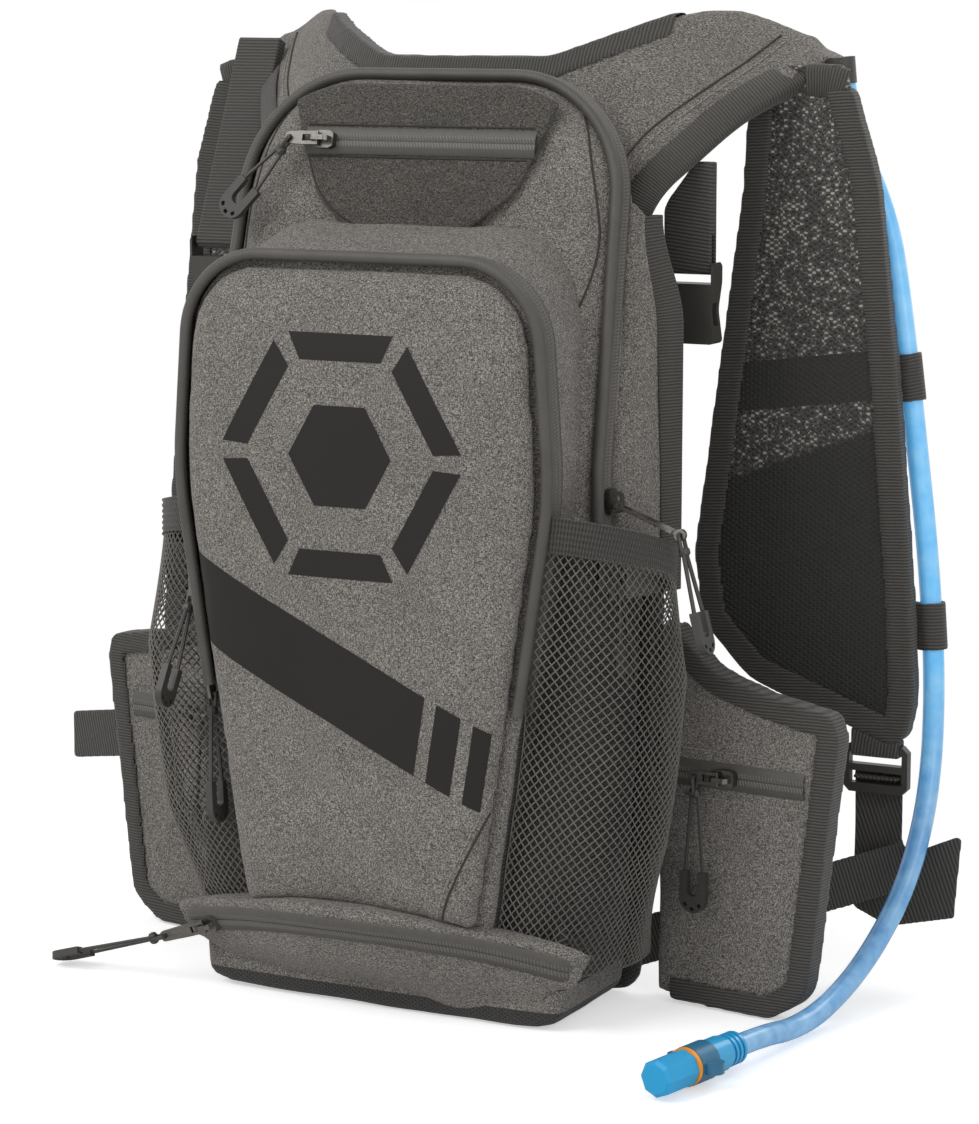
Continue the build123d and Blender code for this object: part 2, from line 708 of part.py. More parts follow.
# ---------------------------------------------------------------------- reservoir
bag_points = mirrored([(72, 30), (74, 372)])
bag_back_y = back_face_y - fabric_wall
bag_profile = [(-4, 28), (-4, 60), (20, 374), (bag_back_y, 374), (bag_back_y, 28)]
bag = across(bag_points, [24, 20, 20, 24], -60, 60) & sideways(bag_profile, [8, 100, 5, 5, 8])
cap_z = 318.0
cap_face_y = -4 + 24 * (cap_z - 60) / 314
neck = Pos(0, cap_face_y - 1, cap_z) * Rot(90, 0, 0) * Cylinder(20, 14)
outlet = Pos(0, -9, 54) * Rot(90, 0, 0) * Cylinder(8, 14)
save("reservoir", one(bag + neck + outlet))
cap = Cylinder(25, 9)
for step in range(8):
    angle = radians(45 * step)
    cap = cap - Pos(26.5 * cos(angle), 26.5 * sin(angle), 0) * Cylinder(4, 12)
cap = cap - Pos(0, 0, -3) * Cylinder(20.1, 8)
cap_place = Pos(0, cap_face_y - 10.2, cap_z) * Rot(90, 0, 0)
save("reservoir_cap", one(cap_place * cap))

# ----------------------------------------------------------------- zip pulls
# Each pull is a chain of three: a slider that runs along its zip, a metal tab
# whose crossbar sits under the slider's bridge, and a cord with a U-shaped grip.
# In a pull's own frame X is the crossbar, Y points out of the cloth and Z runs
# along the zip, the way that the slider opens it.
hinge_y = 5.9                # crossbar above the tape
hinge_z = -1.5
crossbar_radius = 0.9
tab_thick = 1.6
tab_width = 6.4
tab_eye = 1.3
cord_radius = 1.0
grip_width = 14.0
grip_arm = 4.0
grip_thick = 3.4
grip_height = 20.0
knot_z = -8.0                # knot below the eye


def cord_run(start, end):
    """Straight run of cord, six-sided."""
    run = Vector(*end) - Vector(*start)
    section = Plane(origin=start, z_dir=run) * RegularPolygon(cord_radius, 6)
    return extrude(section, amount=run.length, dir=run)


def slider_body():
    """Waisted slider with an arched bridge."""
    base = extrude(make_face(FilletPolyline(
        (-3.4, gap, -6), (3.4, gap, -6), (4.2, gap, -1), (4.2, gap, 4), (3, gap, 6.2),
        (-3, gap, 6.2), (-4.2, gap, 4), (-4.2, gap, -1), radius=[1, 1, 0, 0, 1, 1, 0, 0],
        close=True)), amount=4.0 - gap, dir=(0, 1, 0))
    arch_line = [(-1.2, 3.5, -5), (-1.2, 7.2, -5), (-1.2, 8.8, -3.4), (-1.2, 8.8, 3.4),
                 (-1.2, 7.2, 5), (-1.2, 3.5, 5)]
    arch = extrude(loop_face(arch_line, [0, 1.2, 1.2, 1.2, 1.2, 0]), amount=2.4, dir=(1, 0, 0))
    hollow_line = [(-2, 4.2, -3.5), (-2, 7.4, -3.5), (-2, 7.4, 3.5), (-2, 4.2, 3.5)]
    hollow = extrude(loop_face(hollow_line, [0.8] * 4), amount=4, dir=(1, 0, 0))
    return one(base + (arch - hollow))


def tab_body(length, end):
    """Flat tab, hanging from the crossbar at the frame's hinge point."""
    half = tab_width / 2
    plate_line = [(-half, -tab_thick / 2, 0.9), (half, -tab_thick / 2, 0.9),
                  (half, -tab_thick / 2, -9), (2.6, -tab_thick / 2, -length - 2.6),
                  (-2.6, -tab_thick / 2, -length - 2.6), (-half, -tab_thick / 2, -9)]
    plate = extrude(loop_face(plate_line, [0.5, 0.5, 0, 1.6, 1.6, 0]), amount=tab_thick,
                    dir=(0, 1, 0))
    window = Pos(0, 0, -2.9) * Box(3.2, 6, 9.0)
    plate = plate - window
    crossbar = Rot(0, 90, 0) * Cylinder(crossbar_radius, tab_width)
    if end == "flat":
        eye = Pos(0, 0, -length) * Rot(90, 0, 0) * Cylinder(tab_eye, 6)
        return one(plate + crossbar - eye)
    lug = Pos(0, 0, -length) * Rot(0, 90, 0) * Cylinder(2.8, 2.4)
    sides = Pos(0, 0, -length) * (Box(20, 6, 7.4) - Box(2.4, 8, 9))
    eye = Pos(0, 0, -length) * Rot(0, 90, 0) * Cylinder(tab_eye, 6)
    return one((plate - sides) + lug + crossbar - eye)


def grip_outline(inset, top):
    """Solid U: straight sides and a rounded foot."""
    half = grip_width / 2 - inset
    foot = top - grip_height + inset
    corners = [(-half, -grip_thick / 2, top), (half, -grip_thick / 2, top),
               (half, -grip_thick / 2, foot), (-half, -grip_thick / 2, foot)]
    round_foot = half - 0.2
    face = loop_face(corners, [0.8, 0.8, round_foot, round_foot])
    return extrude(face, amount=grip_thick, dir=(0, 1, 0))


def grip_body(cord_length, end, twist):
    """Cord through the tab's eye, knotted, with a moulded grip on its loop."""
    spread = 2.2 if end == "flat" else 2.6
    upper = [(0, side * spread, 0) for side in (-1, 1)]
    if end != "flat":
        upper = [(side * spread, 0, 0) for side in (-1, 1)]
    top = -cord_length
    arm_x = (grip_width - grip_arm) / 2
    shape = Pos(0, 0, knot_z) * Box(5.6, 4.4, 4.4)
    shape = chamfer(shape.edges(), 1.2)
    shape = shape + cord_run(tuple(c * 1.3 for c in upper[0]), tuple(c * 1.3 for c in upper[1]))
    for point in upper:
        shape = shape + cord_run(point, (point[0], point[1] * 0.6, knot_z))
    grip = grip_outline(0, top) - grip_outline(grip_arm, top + 4)
    for side in (-1, 1):
        grip = grip + cord_run((side * 1.6, 0, knot_z), (side * arm_x, 0, top - 2))
    centre_z = top - grip_height + grip_width / 2
    for angle in (-50, 0, 50):
        hole = Pos(0, 0, centre_z) * Rot(0, angle, 0) * Pos(0, 0, -grip_width / 2 + 2)
        grip = grip - hole * Box(2.2, 10, 1.8)
    return one(shape + Rot(0, 0, twist) * grip)


def pull_frame(origin, along, out):
    """Plane of a pull: Z along the zip, Y out of the cloth."""
    along = Vector(*along).normalized()
    out = Vector(*out)
    out = (out - along * out.dot(along)).normalized()
    return Plane(origin=origin, x_dir=out.cross(along), z_dir=along)


front_rise = (front_widest_half - front_base_half) / (front_widest_z - front_base_z)
main_rise = (main_top_half - main_widest_half) / (main_top_z - main_widest_z)
knee_slope = (seam_knee_y - seam_base_y) / (seam_knee_z + 1)
top_slope = (seam_top_y - seam_knee_y) / (main_top_z + 2 - seam_knee_z)


def front_pull_place(z):
    x = front_side_x(z)
    origin = (-x, front_edge_y + 1 + tape_width / 2, z)
    return origin, (-front_rise, 0, 1), (-1, 0, -front_rise)


def main_pull_place(z):
    x = main_widest_half + (z - main_widest_z) * main_rise
    return (x, seam_y(z), z), (main_rise, knee_slope, 1), (1, 0, -main_rise)


def top_pull_place(x):
    y = seam_y(top_zip_z, shell_depth + top_patch_thick + tape_thick)
    return (x, y, top_zip_z), (1, 0, 0), (0, -1, top_slope)


def hip_pull_place(along, sweep, side):
    """Place on a wing's tape, by the distance along the wing."""
    ahead = (cos(radians(sweep)), sin(radians(sweep)))
    out = (sin(radians(sweep)), -cos(radians(sweep)))
    root_x = panel_half + 2 * gap + max(0.0, wing_thick * ahead[1])
    x = root_x + along * ahead[0] + tape_thick * out[0]
    y = back_face_y - 1.0 + along * ahead[1] + tape_thick * out[1]
    return (side * x, y, wing_zip_z), (side * ahead[0], ahead[1], 0), (side * out[0], out[1], 0)


def chin_face_y(x, z):
    """Y of the bottom zip's outer face, from the crescents at the foot and the top."""
    top_z = chin_mid_z + 8
    share = z / top_z
    foot_back = seam_y(0, shell_depth) - 0.2
    top_back = seam_y(top_z, shell_depth) - 0.2
    half = chin_foot_half + (chin_half - chin_foot_half) * share + tape_thick
    front = chin_foot_y + (chin_front_y - chin_foot_y) * share - tape_thick
    sag = foot_back + (top_back - foot_back) * share - front
    radius = (half ** 2 + sag ** 2) / (2 * sag)
    return front + radius - (radius ** 2 - x ** 2) ** 0.5


def chin_band_z(x):
    """Height of the middle of the bottom zip's band."""
    reach = chin_half + 20
    rise = chin_mid_z - (chin_end_z - 7)
    bow = (reach ** 2 + rise ** 2) / (2 * rise)
    return chin_mid_z - 2 - tape_width / 2 - bow + (bow ** 2 - x ** 2) ** 0.5


def chin_pull_place(x):
    z = chin_band_z(x)
    slope_x = chin_face_y(x + 0.5, z) - chin_face_y(x - 0.5, z)
    slope_z = chin_face_y(x, z + 0.5) - chin_face_y(x, z - 0.5)
    out = Vector(slope_x, -1, slope_z).normalized()
    rise = chin_band_z(x + 0.5) - chin_band_z(x - 0.5)
    origin = Vector(x, chin_face_y(x, z), z) + out * 0.4
    return tuple(origin), (1, slope_x + slope_z * rise, rise), tuple(out)


# name: place, tab length, lift of the tab, tab end, cord length, swing and twist of the grip
pull_table = {
    "top": (top_pull_place(-50.0), 14, 0, "flat", 30, 50, 0),
    "front_upper": (front_pull_place(212.0), 15, 10, "flat", 38, 28, 0),
    "front_lower": (front_pull_place(163.0), 15, 0, "flat", 42, 10, 0),
    "main_upper": (main_pull_place(247.0), 34, 68, "lug", 36, -54, 0),
    "main_lower": (main_pull_place(229.5), 15, 4, "lug", 30, 0, 0),
    "bottom": (chin_pull_place(-86.0), 24, 22, "flat", 52, -2.4, 60),
    "hip_right": (hip_pull_place(38.0, wing_right_sweep, 1), 12, 0, "flat", 46, 90, 0),
    "hip_left": (hip_pull_place(38.0, wing_left_sweep, -1), 12, 0, "flat", 46, -90, 0),
}
pull_joints = {}
for name, (place, tab_length, lift, end, cord_length, swing, twist) in pull_table.items():
    frame = pull_frame(*place)
    hinge = frame * Pos(0, hinge_y, hinge_z) * Rot(lift, 0, 0)
    turn = Rot(0, swing, 0) if end == "flat" else Rot(swing, 0, 0)
    eye = hinge * Pos(0, 0, -tab_length)
    save(f"zip_slider_{name}", frame.location * slider_body())
    save(f"zip_tab_{name}", hinge * tab_body(tab_length, end))
    save(f"zip_grip_{name}", eye * turn * grip_body(cord_length, end, twist))
    pull_joints[name] = (frame, hinge, eye, end)

for name, shape in written.items():
    print(name, len(shape.solids()), round(shape.volume), shape.is_valid)
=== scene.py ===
import math

import bmesh
import bpy
from mathutils import Matrix, Vector, noise
from mathutils.bvhtree import BVHTree


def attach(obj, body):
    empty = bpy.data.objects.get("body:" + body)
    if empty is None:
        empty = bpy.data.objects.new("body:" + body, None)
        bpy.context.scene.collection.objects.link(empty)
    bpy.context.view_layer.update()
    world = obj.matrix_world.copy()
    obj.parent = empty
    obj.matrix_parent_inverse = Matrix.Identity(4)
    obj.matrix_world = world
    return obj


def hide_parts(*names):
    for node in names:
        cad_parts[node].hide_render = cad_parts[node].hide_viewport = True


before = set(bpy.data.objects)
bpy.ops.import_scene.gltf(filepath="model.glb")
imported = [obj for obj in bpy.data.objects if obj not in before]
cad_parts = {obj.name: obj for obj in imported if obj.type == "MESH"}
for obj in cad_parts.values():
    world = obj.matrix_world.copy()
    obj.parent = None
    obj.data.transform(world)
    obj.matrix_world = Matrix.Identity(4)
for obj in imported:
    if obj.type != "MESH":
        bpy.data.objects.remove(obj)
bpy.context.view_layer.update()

# ---------------------------------------------------------------- floor, light, camera
# A pale studio sweep: a matte floor under the pack, one big soft key lamp from the upper left,
# a weaker fill from the right and a rim lamp behind. The camera stands a little to the right.


def srgb(code):
    """Linear colour of an sRGB hex code."""
    parts = [int(code[i:i + 2], 16) / 255 for i in (1, 3, 5)]
    linear = [c / 12.92 if c <= 0.04045 else ((c + 0.055) / 1.055) ** 2.4 for c in parts]
    return (*linear, 1.0)


def add(tree, kind, links=None, **settings):
    """A node with its settings; links gives sockets a value or another node's output."""
    node = tree.nodes.new(kind)
    for key, value in settings.items():
        setattr(node, key, value)
    for socket, value in (links or {}).items():
        if isinstance(value, bpy.types.NodeSocket):
            tree.links.new(value, node.inputs[socket])
        else:
            node.inputs[socket].default_value = value
    return node


def new_material(name):
    """Empty material: itself, its tree, its surface socket and its Object coordinates."""
    material = bpy.data.materials.new(name)
    material.use_nodes = True
    tree = material.node_tree
    tree.nodes.clear()
    surface = add(tree, "ShaderNodeOutputMaterial").inputs["Surface"]
    return material, tree, surface, add(tree, "ShaderNodeTexCoord").outputs["Object"]


# matte white floor paint: seen directly it is lifted to white, so that only the soft contact
# shadows show, and it turns into the backdrop half a metre away from the pack
fade_start, fade_end = 0.28, 0.5
floor_size, floor_drop = 9.0, 0.0006
floor_paint, tree, surface, place = new_material("floor_matte_paint")
path = add(tree, "ShaderNodeLightPath")
paint = add(tree, "ShaderNodeBsdfPrincipled", {"Base Color": srgb("#f2f2f2"), "Roughness": 0.95,
                                               "Specular IOR Level": 0.05})
lift = add(tree, "ShaderNodeEmission", {"Color": srgb("#ffffff")})
lift_level = add(tree, "ShaderNodeMath", {0: path.outputs["Is Camera Ray"], 1: 0.5},
                 operation="MULTIPLY")
tree.links.new(lift_level.outputs[0], lift.inputs["Strength"])
lifted = add(tree, "ShaderNodeAddShader", {0: paint.outputs[0], 1: lift.outputs[0]})
far = add(tree, "ShaderNodeVectorMath", {0: place}, operation="LENGTH")
fade = add(tree, "ShaderNodeMapRange", {"Value": far.outputs["Value"],
                                        "From Min": fade_start, "From Max": fade_end},
           interpolation_type="SMOOTHSTEP")
fade = add(tree, "ShaderNodeMath", {0: fade.outputs[0], 1: path.outputs["Is Camera Ray"]},
           operation="MULTIPLY")
plain = add(tree, "ShaderNodeEmission", {"Color": srgb("#ffffff"), "Strength": 1.0})
floor_mix = add(tree, "ShaderNodeMixShader", {0: fade.outputs[0], 1: lifted.outputs[0],
                                              2: plain.outputs[0]})
tree.links.new(floor_mix.outputs[0], surface)
bpy.ops.mesh.primitive_plane_add(size=floor_size, location=(0, 0, -floor_drop))
floor = bpy.context.object
floor.name = "floor"
floor.data.materials.append(floor_paint)

# white walls all round: bright where they are seen or mirrored, and dimmer as a light
world = bpy.data.worlds.new("studio")
bpy.context.scene.world = world
world.use_nodes = True
tree = world.node_tree
tree.nodes.clear()
path = add(tree, "ShaderNodeLightPath")
seen = add(tree, "ShaderNodeMath", {0: path.outputs["Is Camera Ray"],
                                    1: path.outputs["Is Glossy Ray"]}, operation="MAXIMUM")
seen = add(tree, "ShaderNodeMath", {0: seen.outputs[0], 1: path.outputs["Is Transmission Ray"]},
           operation="MAXIMUM")
ambient = add(tree, "ShaderNodeBackground", {"Color": srgb("#ffffff"), "Strength": 0.5})
backdrop = add(tree, "ShaderNodeBackground", {"Color": srgb("#ffffff"), "Strength": 1.0})
mixed = add(tree, "ShaderNodeMixShader", {0: seen.outputs[0], 1: ambient.outputs[0],
                                          2: backdrop.outputs[0]})
add(tree, "ShaderNodeOutputWorld", {"Surface": mixed.outputs[0]})

# soft boxes, all turned to the middle of the pack: place and width in metres, power in watts
pack_middle = Vector((0, 0, 0.22))
for name, stand_at, width, watts in (("key", (-0.9, -1.6, 1.9), 1.3, 26),
                                     ("fill", (1.9, -1.1, 1.1), 1.4, 9),
                                     ("rim", (0.7, 1.6, 1.7), 1.2, 10)):
    lamp = bpy.data.lights.new(name, "AREA")
    lamp.size = width
    lamp.energy = watts
    stand = bpy.data.objects.new(name, lamp)
    bpy.context.scene.collection.objects.link(stand)
    stand.location = stand_at
    stand.rotation_euler = (pack_middle - Vector(stand_at)).to_track_quat("-Z", "Y").to_euler()

# a long lens from a little to the right of the front and slightly above
aim = Vector((0.0422, -0.00235, 0.2136))
turn, rise, distance = math.radians(26.93), math.radians(9.28), 1.645
lens = bpy.data.cameras.new("camera")
lens.lens = 111.8
lens.sensor_width = 36.0
lens.sensor_fit = "AUTO"
camera = bpy.data.objects.new("camera", lens)
bpy.context.scene.collection.objects.link(camera)
camera.location = aim + distance * Vector((math.sin(turn) * math.cos(rise),
                                           -math.cos(turn) * math.cos(rise), math.sin(rise)))
camera.rotation_euler = (aim - camera.location).to_track_quat("-Z", "Y").to_euler()
bpy.context.scene.camera = camera
bpy.context.scene.view_settings.view_transform = "Standard"

# ------------------------------------------------------------------------ drinking hose
# A soft extruded TPU tube of 10.4 mm. It leaves a port at the right shoulder, runs down behind
# the strap through two elastic keepers, and turns forward along the floor to the bite valve.

# radius and the heights between which the water ends are in metres, the route in mm
hose_radius = 0.0052
water_low, water_high = 0.085, 0.165
route = [(165, 127, 446), (170, 129, 412), (189, 131, 372), (197, 131, 326), (205, 131, 266),
         (213, 130.5, 206), (218, 129, 146), (220, 118, 94), (217, 97, 54), (209, 66, 24),
         (202, 31, 8.5), (197.5, 0, 6.0), (194, -26, 10), (189.5, -48, 10)]
tube = bpy.data.curves.new("drinking_hose", "CURVE")
tube.dimensions = "3D"
tube.bevel_depth = hose_radius
tube.bevel_resolution = 6
tube.resolution_u = 16
spline = tube.splines.new("NURBS")
spline.points.add(len(route) - 1)
for point, (x, y, z) in zip(spline.points, route):
    point.co = (x / 1000, y / 1000, z / 1000, 1)
spline.order_u = 3
spline.use_endpoint_u = True
hose = bpy.data.objects.new("drinking_hose", tube)
bpy.context.scene.collection.objects.link(hose)


def per_metre(size):
    """Scale, to two figures, of a pattern on Object coordinates whose cells have a size in mm."""
    return float(f"{1000 / size:.2g}")


# TPU, extruded clear and tinted: glossy, lets light through, deeper blue where water stands in
# it, with faint clouds of 11 mm where the wall is milky, and a faint painted glow of its own
# tint that stands for light shining through the tube
hose_tpu, tree, surface, place = new_material("extruded_clear_tpu")
high = add(tree, "ShaderNodeSeparateXYZ", {0: place})
level = add(tree, "ShaderNodeMapRange", {"Value": high.outputs["Z"],
                                         "From Min": water_low, "From Max": water_high})
milky = add(tree, "ShaderNodeTexNoise", {"Vector": place, "Scale": per_metre(11.1), "Detail": 3.0})
tint = add(tree, "ShaderNodeMix", {"Factor": level.outputs[0], 6: srgb("#0077c2"),
                                   7: srgb("#22b4fa")}, data_type="RGBA")
cloud = add(tree, "ShaderNodeMix", {"Factor": milky.outputs[0], 6: tint.outputs[2],
                                    7: srgb("#b9e8fa")}, data_type="RGBA")
cloud.inputs[0].default_value = 0.04
# the emission paints a faint glow in the tube's tint, for light shining through it
body = add(tree, "ShaderNodeBsdfPrincipled",
           {"Base Color": cloud.outputs[2], "Roughness": 0.2, "IOR": 1.5,
            "Transmission Weight": 0.1, "Coat Weight": 0.2, "Coat Roughness": 0.06,
            "Emission Color": tint.outputs[2], "Emission Strength": 0.16})
tree.links.new(body.outputs[0], surface)
tube.materials.append(hose_tpu)
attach(hose, "pack")
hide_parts("drink_hose")

# ---------------------------------------------------------------------- main compartment
# The tall pouch that holds the bladder: polyester cloth over thin foam, cut as an arch and sewn
# to the back panel. Its front leans back above the knee. It is filled, so its edges are round.


def outline(points, radii, segments=9):
    """Corner points (x, z) in mm as a closed line; each corner is rounded by its radius."""
    bm = bmesh.new()
    corners = [bm.verts.new((x, 0, z)) for x, z in points]
    bm.faces.new(corners)
    turns = []
    for i, (x, z) in enumerate(points):
        a = Vector(points[i - 1]) - Vector((x, z))
        b = Vector(points[(i + 1) % len(points)]) - Vector((x, z))
        turns.append(math.pi - a.angle(b))
    for corner, radius, bend in zip(corners, radii, turns):
        if radius > 0:
            bmesh.ops.bevel(bm, geom=[corner], offset=radius * math.tan(bend / 2),
                            affect="VERTICES", offset_type="OFFSET", segments=segments,
                            profile=0.5, material=-1)
    bm.faces.ensure_lookup_table()
    line = [v.co.copy() for v in bm.faces[0].verts]
    bm.free()
    return line


def slab(line, front, back):
    """Solid with that outline, from one depth to another, in mm."""
    bm = bmesh.new()
    face = bm.faces.new([bm.verts.new((p.x, front, p.z)) for p in line])
    grown = bmesh.ops.extrude_face_region(bm, geom=[face])
    moved = [v for v in grown["geom"] if isinstance(v, bmesh.types.BMVert)]
    bmesh.ops.translate(bm, vec=(0, back - front, 0), verts=moved)
    bmesh.ops.recalc_face_normals(bm, faces=bm.faces)
    return bm


def cut(bm, point, normal):
    """Cut away what lies on the normal's side of a plane and close the cut."""
    geom = bm.verts[:] + bm.edges[:] + bm.faces[:]
    bmesh.ops.bisect_plane(bm, geom=geom, plane_co=point, plane_no=normal, clear_outer=True)
    bmesh.ops.holes_fill(bm, edges=[e for e in bm.edges if e.is_boundary], sides=0)
    return bm


def made(name, bm, *materials):
    """Object from a mesh that was drawn in mm."""
    bmesh.ops.scale(bm, vec=(0.001, 0.001, 0.001), verts=bm.verts)
    for face in bm.faces:
        face.smooth = True
    mesh = bpy.data.meshes.new(name)
    bm.to_mesh(mesh)
    bm.free()
    piece = bpy.data.objects.new(name, mesh)
    bpy.context.scene.collection.objects.link(piece)
    for material in materials:
        mesh.materials.append(material)
    return piece


def applied(piece):
    """Make the piece's modifiers part of its mesh."""
    shaped = piece.evaluated_get(bpy.context.evaluated_depsgraph_get())
    baked = bpy.data.meshes.new_from_object(shaped)
    piece.modifiers.clear()
    piece.data = baked
    return piece


def soften(piece, cell, rounds):
    """Small even faces over a rough solid, relaxed until its edges are as round as padding's."""
    even = piece.modifiers.new("even", "REMESH")
    even.mode = "VOXEL"
    even.voxel_size = cell / 1000
    applied(piece)
    bm = bmesh.new()
    bm.from_mesh(piece.data)
    for step in range(rounds):
        bmesh.ops.smooth_vert(bm, verts=bm.verts, factor=0.5, use_axis_x=True, use_axis_y=True,
                              use_axis_z=True)
    for face in bm.faces:
        face.smooth = True
    bm.to_mesh(piece.data)
    bm.free()
    return piece


def worked(piece, move):
    """Push each point of a piece along its normal; move(place in mm, normal) gives how many mm."""
    normals = [v.normal.copy() for v in piece.data.vertices]
    for vertex, normal in zip(piece.data.vertices, normals):
        vertex.co = vertex.co + normal * move(vertex.co * 1000, normal) / 1000
    piece.data.update()
    return piece


def waves(place, size, seed):
    """Smooth random height from -1 to 1 that changes over a size in mm."""
    return noise.noise(Vector((place.x / size + seed, place.y / size, place.z / size)))


def heather(name, dark, base, light):
    """Melange polyester: threads of three greys mixed at random, so that it looks speckled and
    slubby close by and plain from afar. Real slubs are taken to be finer than 0.2 mm; these
    are drawn 1.1 mm long and 0.3 mm wide, because finer ones would blur to one grey."""
    material, tree, surface, place = new_material(name)
    length, width = per_metre(1.14), per_metre(0.333)
    weft = add(tree, "ShaderNodeMapping", {0: place, "Scale": (length, length, width)})
    warp = add(tree, "ShaderNodeMapping", {0: place, "Scale": (width, width, length)})
    along = add(tree, "ShaderNodeTexNoise", {0: weft.outputs[0], "Scale": 1.0, "Detail": 2.0})
    down = add(tree, "ShaderNodeTexNoise", {0: warp.outputs[0], "Scale": 1.0, "Detail": 2.0})
    grain = add(tree, "ShaderNodeTexNoise", {0: place, "Scale": per_metre(0.263), "Detail": 1.0})
    patchy = add(tree, "ShaderNodeTexNoise", {0: place, "Scale": per_metre(26.3), "Detail": 2.0})
    crossed = add(tree, "ShaderNodeMath", {0: along.outputs[0], 1: down.outputs[0]},
                  operation="ADD")
    mixed = add(tree, "ShaderNodeMath", {0: grain.outputs[0], 1: 0.9, 2: crossed.outputs[0]},
                operation="MULTIPLY_ADD")
    spread = add(tree, "ShaderNodeMapRange", {"Value": mixed.outputs[0], "From Min": 1.19,
                                              "From Max": 1.71})
    ramp = add(tree, "ShaderNodeValToRGB", {0: spread.outputs[0]})
    ramp.color_ramp.elements[0].color = srgb(dark)
    ramp.color_ramp.elements[1].color = srgb(light)
    ramp.color_ramp.elements.new(0.5).color = srgb(base)
    worn = add(tree, "ShaderNodeMapRange", {"Value": patchy.outputs[0], "From Min": 0.3,
                                            "From Max": 0.7, "To Min": 0.93, "To Max": 1.07})
    shade = add(tree, "ShaderNodeVectorMath", {0: ramp.outputs[0], "Scale": worn.outputs[0]},
                operation="SCALE")
    bumps = add(tree, "ShaderNodeBump", {"Height": mixed.outputs[0], "Strength": 0.35,
                                         "Distance": 0.0004})
    cloth = add(tree, "ShaderNodeBsdfPrincipled",
                {"Base Color": shade.outputs[0], "Roughness": 0.86, "Sheen Weight": 0.12,
                 "Sheen Roughness": 0.5, "Specular IOR Level": 0.25, "Normal": bumps.outputs[0]})
    tree.links.new(cloth.outputs[0], surface)
    return material


heather_polyester = heather("heather_polyester", "#36322f", "#6b6763", "#aaa59e")
# half widths and heights of the arch in mm, then its corners' radii: foot, flank and shoulder
base_half, widest, widest_z, top_half, top_z = 98, 106, 215, 97, 440
foot_corner, flank_bend, arch_corner = 12, 120, 58
shell_front_y, back_y = -60, 38
# the main zip's line seen from the side: foot, knee and top; the shell stands ahead of it, and
# its front leans in by so much in x and z
seam_low, seam_knee, seam_high = Vector((0, -22, -1)), Vector((0, -6, 262)), Vector((0, 37, 442))
shell = 17
lean_x, lean_z = 10, 6


def seam_y(z):
    """Depth of the main zip's line at a height."""
    a, b = (seam_low, seam_knee) if z < seam_knee.z else (seam_knee, seam_high)
    return a.y + (b.y - a.y) * (z - a.z) / (b.z - a.z)


arch = [(base_half, 0), (widest, widest_z), (top_half, top_z),
        (-top_half, top_z), (-widest, widest_z), (-base_half, 0)]
arch_radii = [foot_corner, flank_bend, arch_corner]
arch_line = outline(arch, arch_radii + arch_radii[::-1], 14)
bm = slab(arch_line, shell_front_y, back_y)
for low, high in ((seam_low, seam_knee), (seam_knee, seam_high)):
    rise = (high - low).normalized()
    cut(bm, low - Vector((0, shell, 0)), Vector((0, -rise.z, rise.y)))
pouch = soften(made("main_compartment_cloth", bm, heather_polyester), 3.0, 9)


def pouch_shape(place, normal):
    """How many mm the cloth swells over the filling or sinks between its seams."""
    swell = 1.6 * waves(place, 70, 3) + 0.5 * waves(place, 24, 8)
    return swell - 0.6


def ease(value):
    """Smooth step from 0 to 1."""
    value = min(1.0, max(0.0, value))
    return value * value * (3 - 2 * value)


def moved(piece, shift):
    """Move each point of a piece; shift(place in mm) gives a vector in mm."""
    for vertex in piece.data.vertices:
        vertex.co = vertex.co + shift(vertex.co * 1000) / 1000
    piece.data.update()
    return piece


def drawn_in(p):
    """The shell's front is smaller than its seam: sides and top lean in as they come forward."""
    ahead = ease((seam_y(p.z) - p.y - 3) / 15) * ease((p.z - 150) / 120)
    return Vector((-p.x / widest * lean_x * ahead, 0, -lean_z * ahead * ease((p.z - 405) / 35)))


worked(pouch, pouch_shape)
moved(pouch, drawn_in)
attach(pouch, "pack")
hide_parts("main_compartment")

# -------------------------------------------------------------------------- front pocket
# The second pouch: a gusset of the same cloth round a stiffened, crowned front panel. The panel
# carries a dull rubber print; a rolled piping covers the seam between panel and gusset.
front_points = [(65, 40), (97.5, 255), (90, 359), (-90, 359), (-97.5, 255), (-65, 40)]
front_radii = [6, 150, 40, 40, 150, 6]
front_line = outline(front_points, front_radii, 12)
edge_y, sewn_y = -50, 30
gusset_rise = 12.5
bm = slab(front_line, edge_y, sewn_y)
gusset = soften(made("front_pocket_cloth", bm, heather_polyester), 3.0, 4)
worked(gusset, lambda place, normal: (0.8 * waves(place, 40, 21) + 0.35 * waves(place, 14, 5)
                                      - 0.5))
# the gusset's top rises towards the main pouch, where the two are sewn together
moved(gusset, lambda p: Vector((0, 0, gusset_rise * ease((p.y + 46) / 50)
                                * ease((p.z - 320) / 40))))
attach(gusset, "pack")
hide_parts("front_pocket")


def soft_copy(name, nodes, cell, rounds, *materials):
    """The shape of one or more CAD solids as soft goods: faces joined, made even and relaxed."""
    bm = bmesh.new()
    for node in nodes.split():
        bm.from_mesh(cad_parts[node].data)
    bmesh.ops.remove_doubles(bm, verts=bm.verts, dist=0.00001)
    bmesh.ops.scale(bm, vec=(1000, 1000, 1000), verts=bm.verts)
    return soften(made(name, bm, *materials), cell, rounds)


panel = soft_copy("front_panel_cloth", "front_panel", 2.6, 12, heather_polyester)
worked(panel, lambda place, normal: 0.9 * waves(place, 60, 2) + 0.25 * waves(place, 17, 4) - 0.2)
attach(panel, "pack")
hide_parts("front_panel")

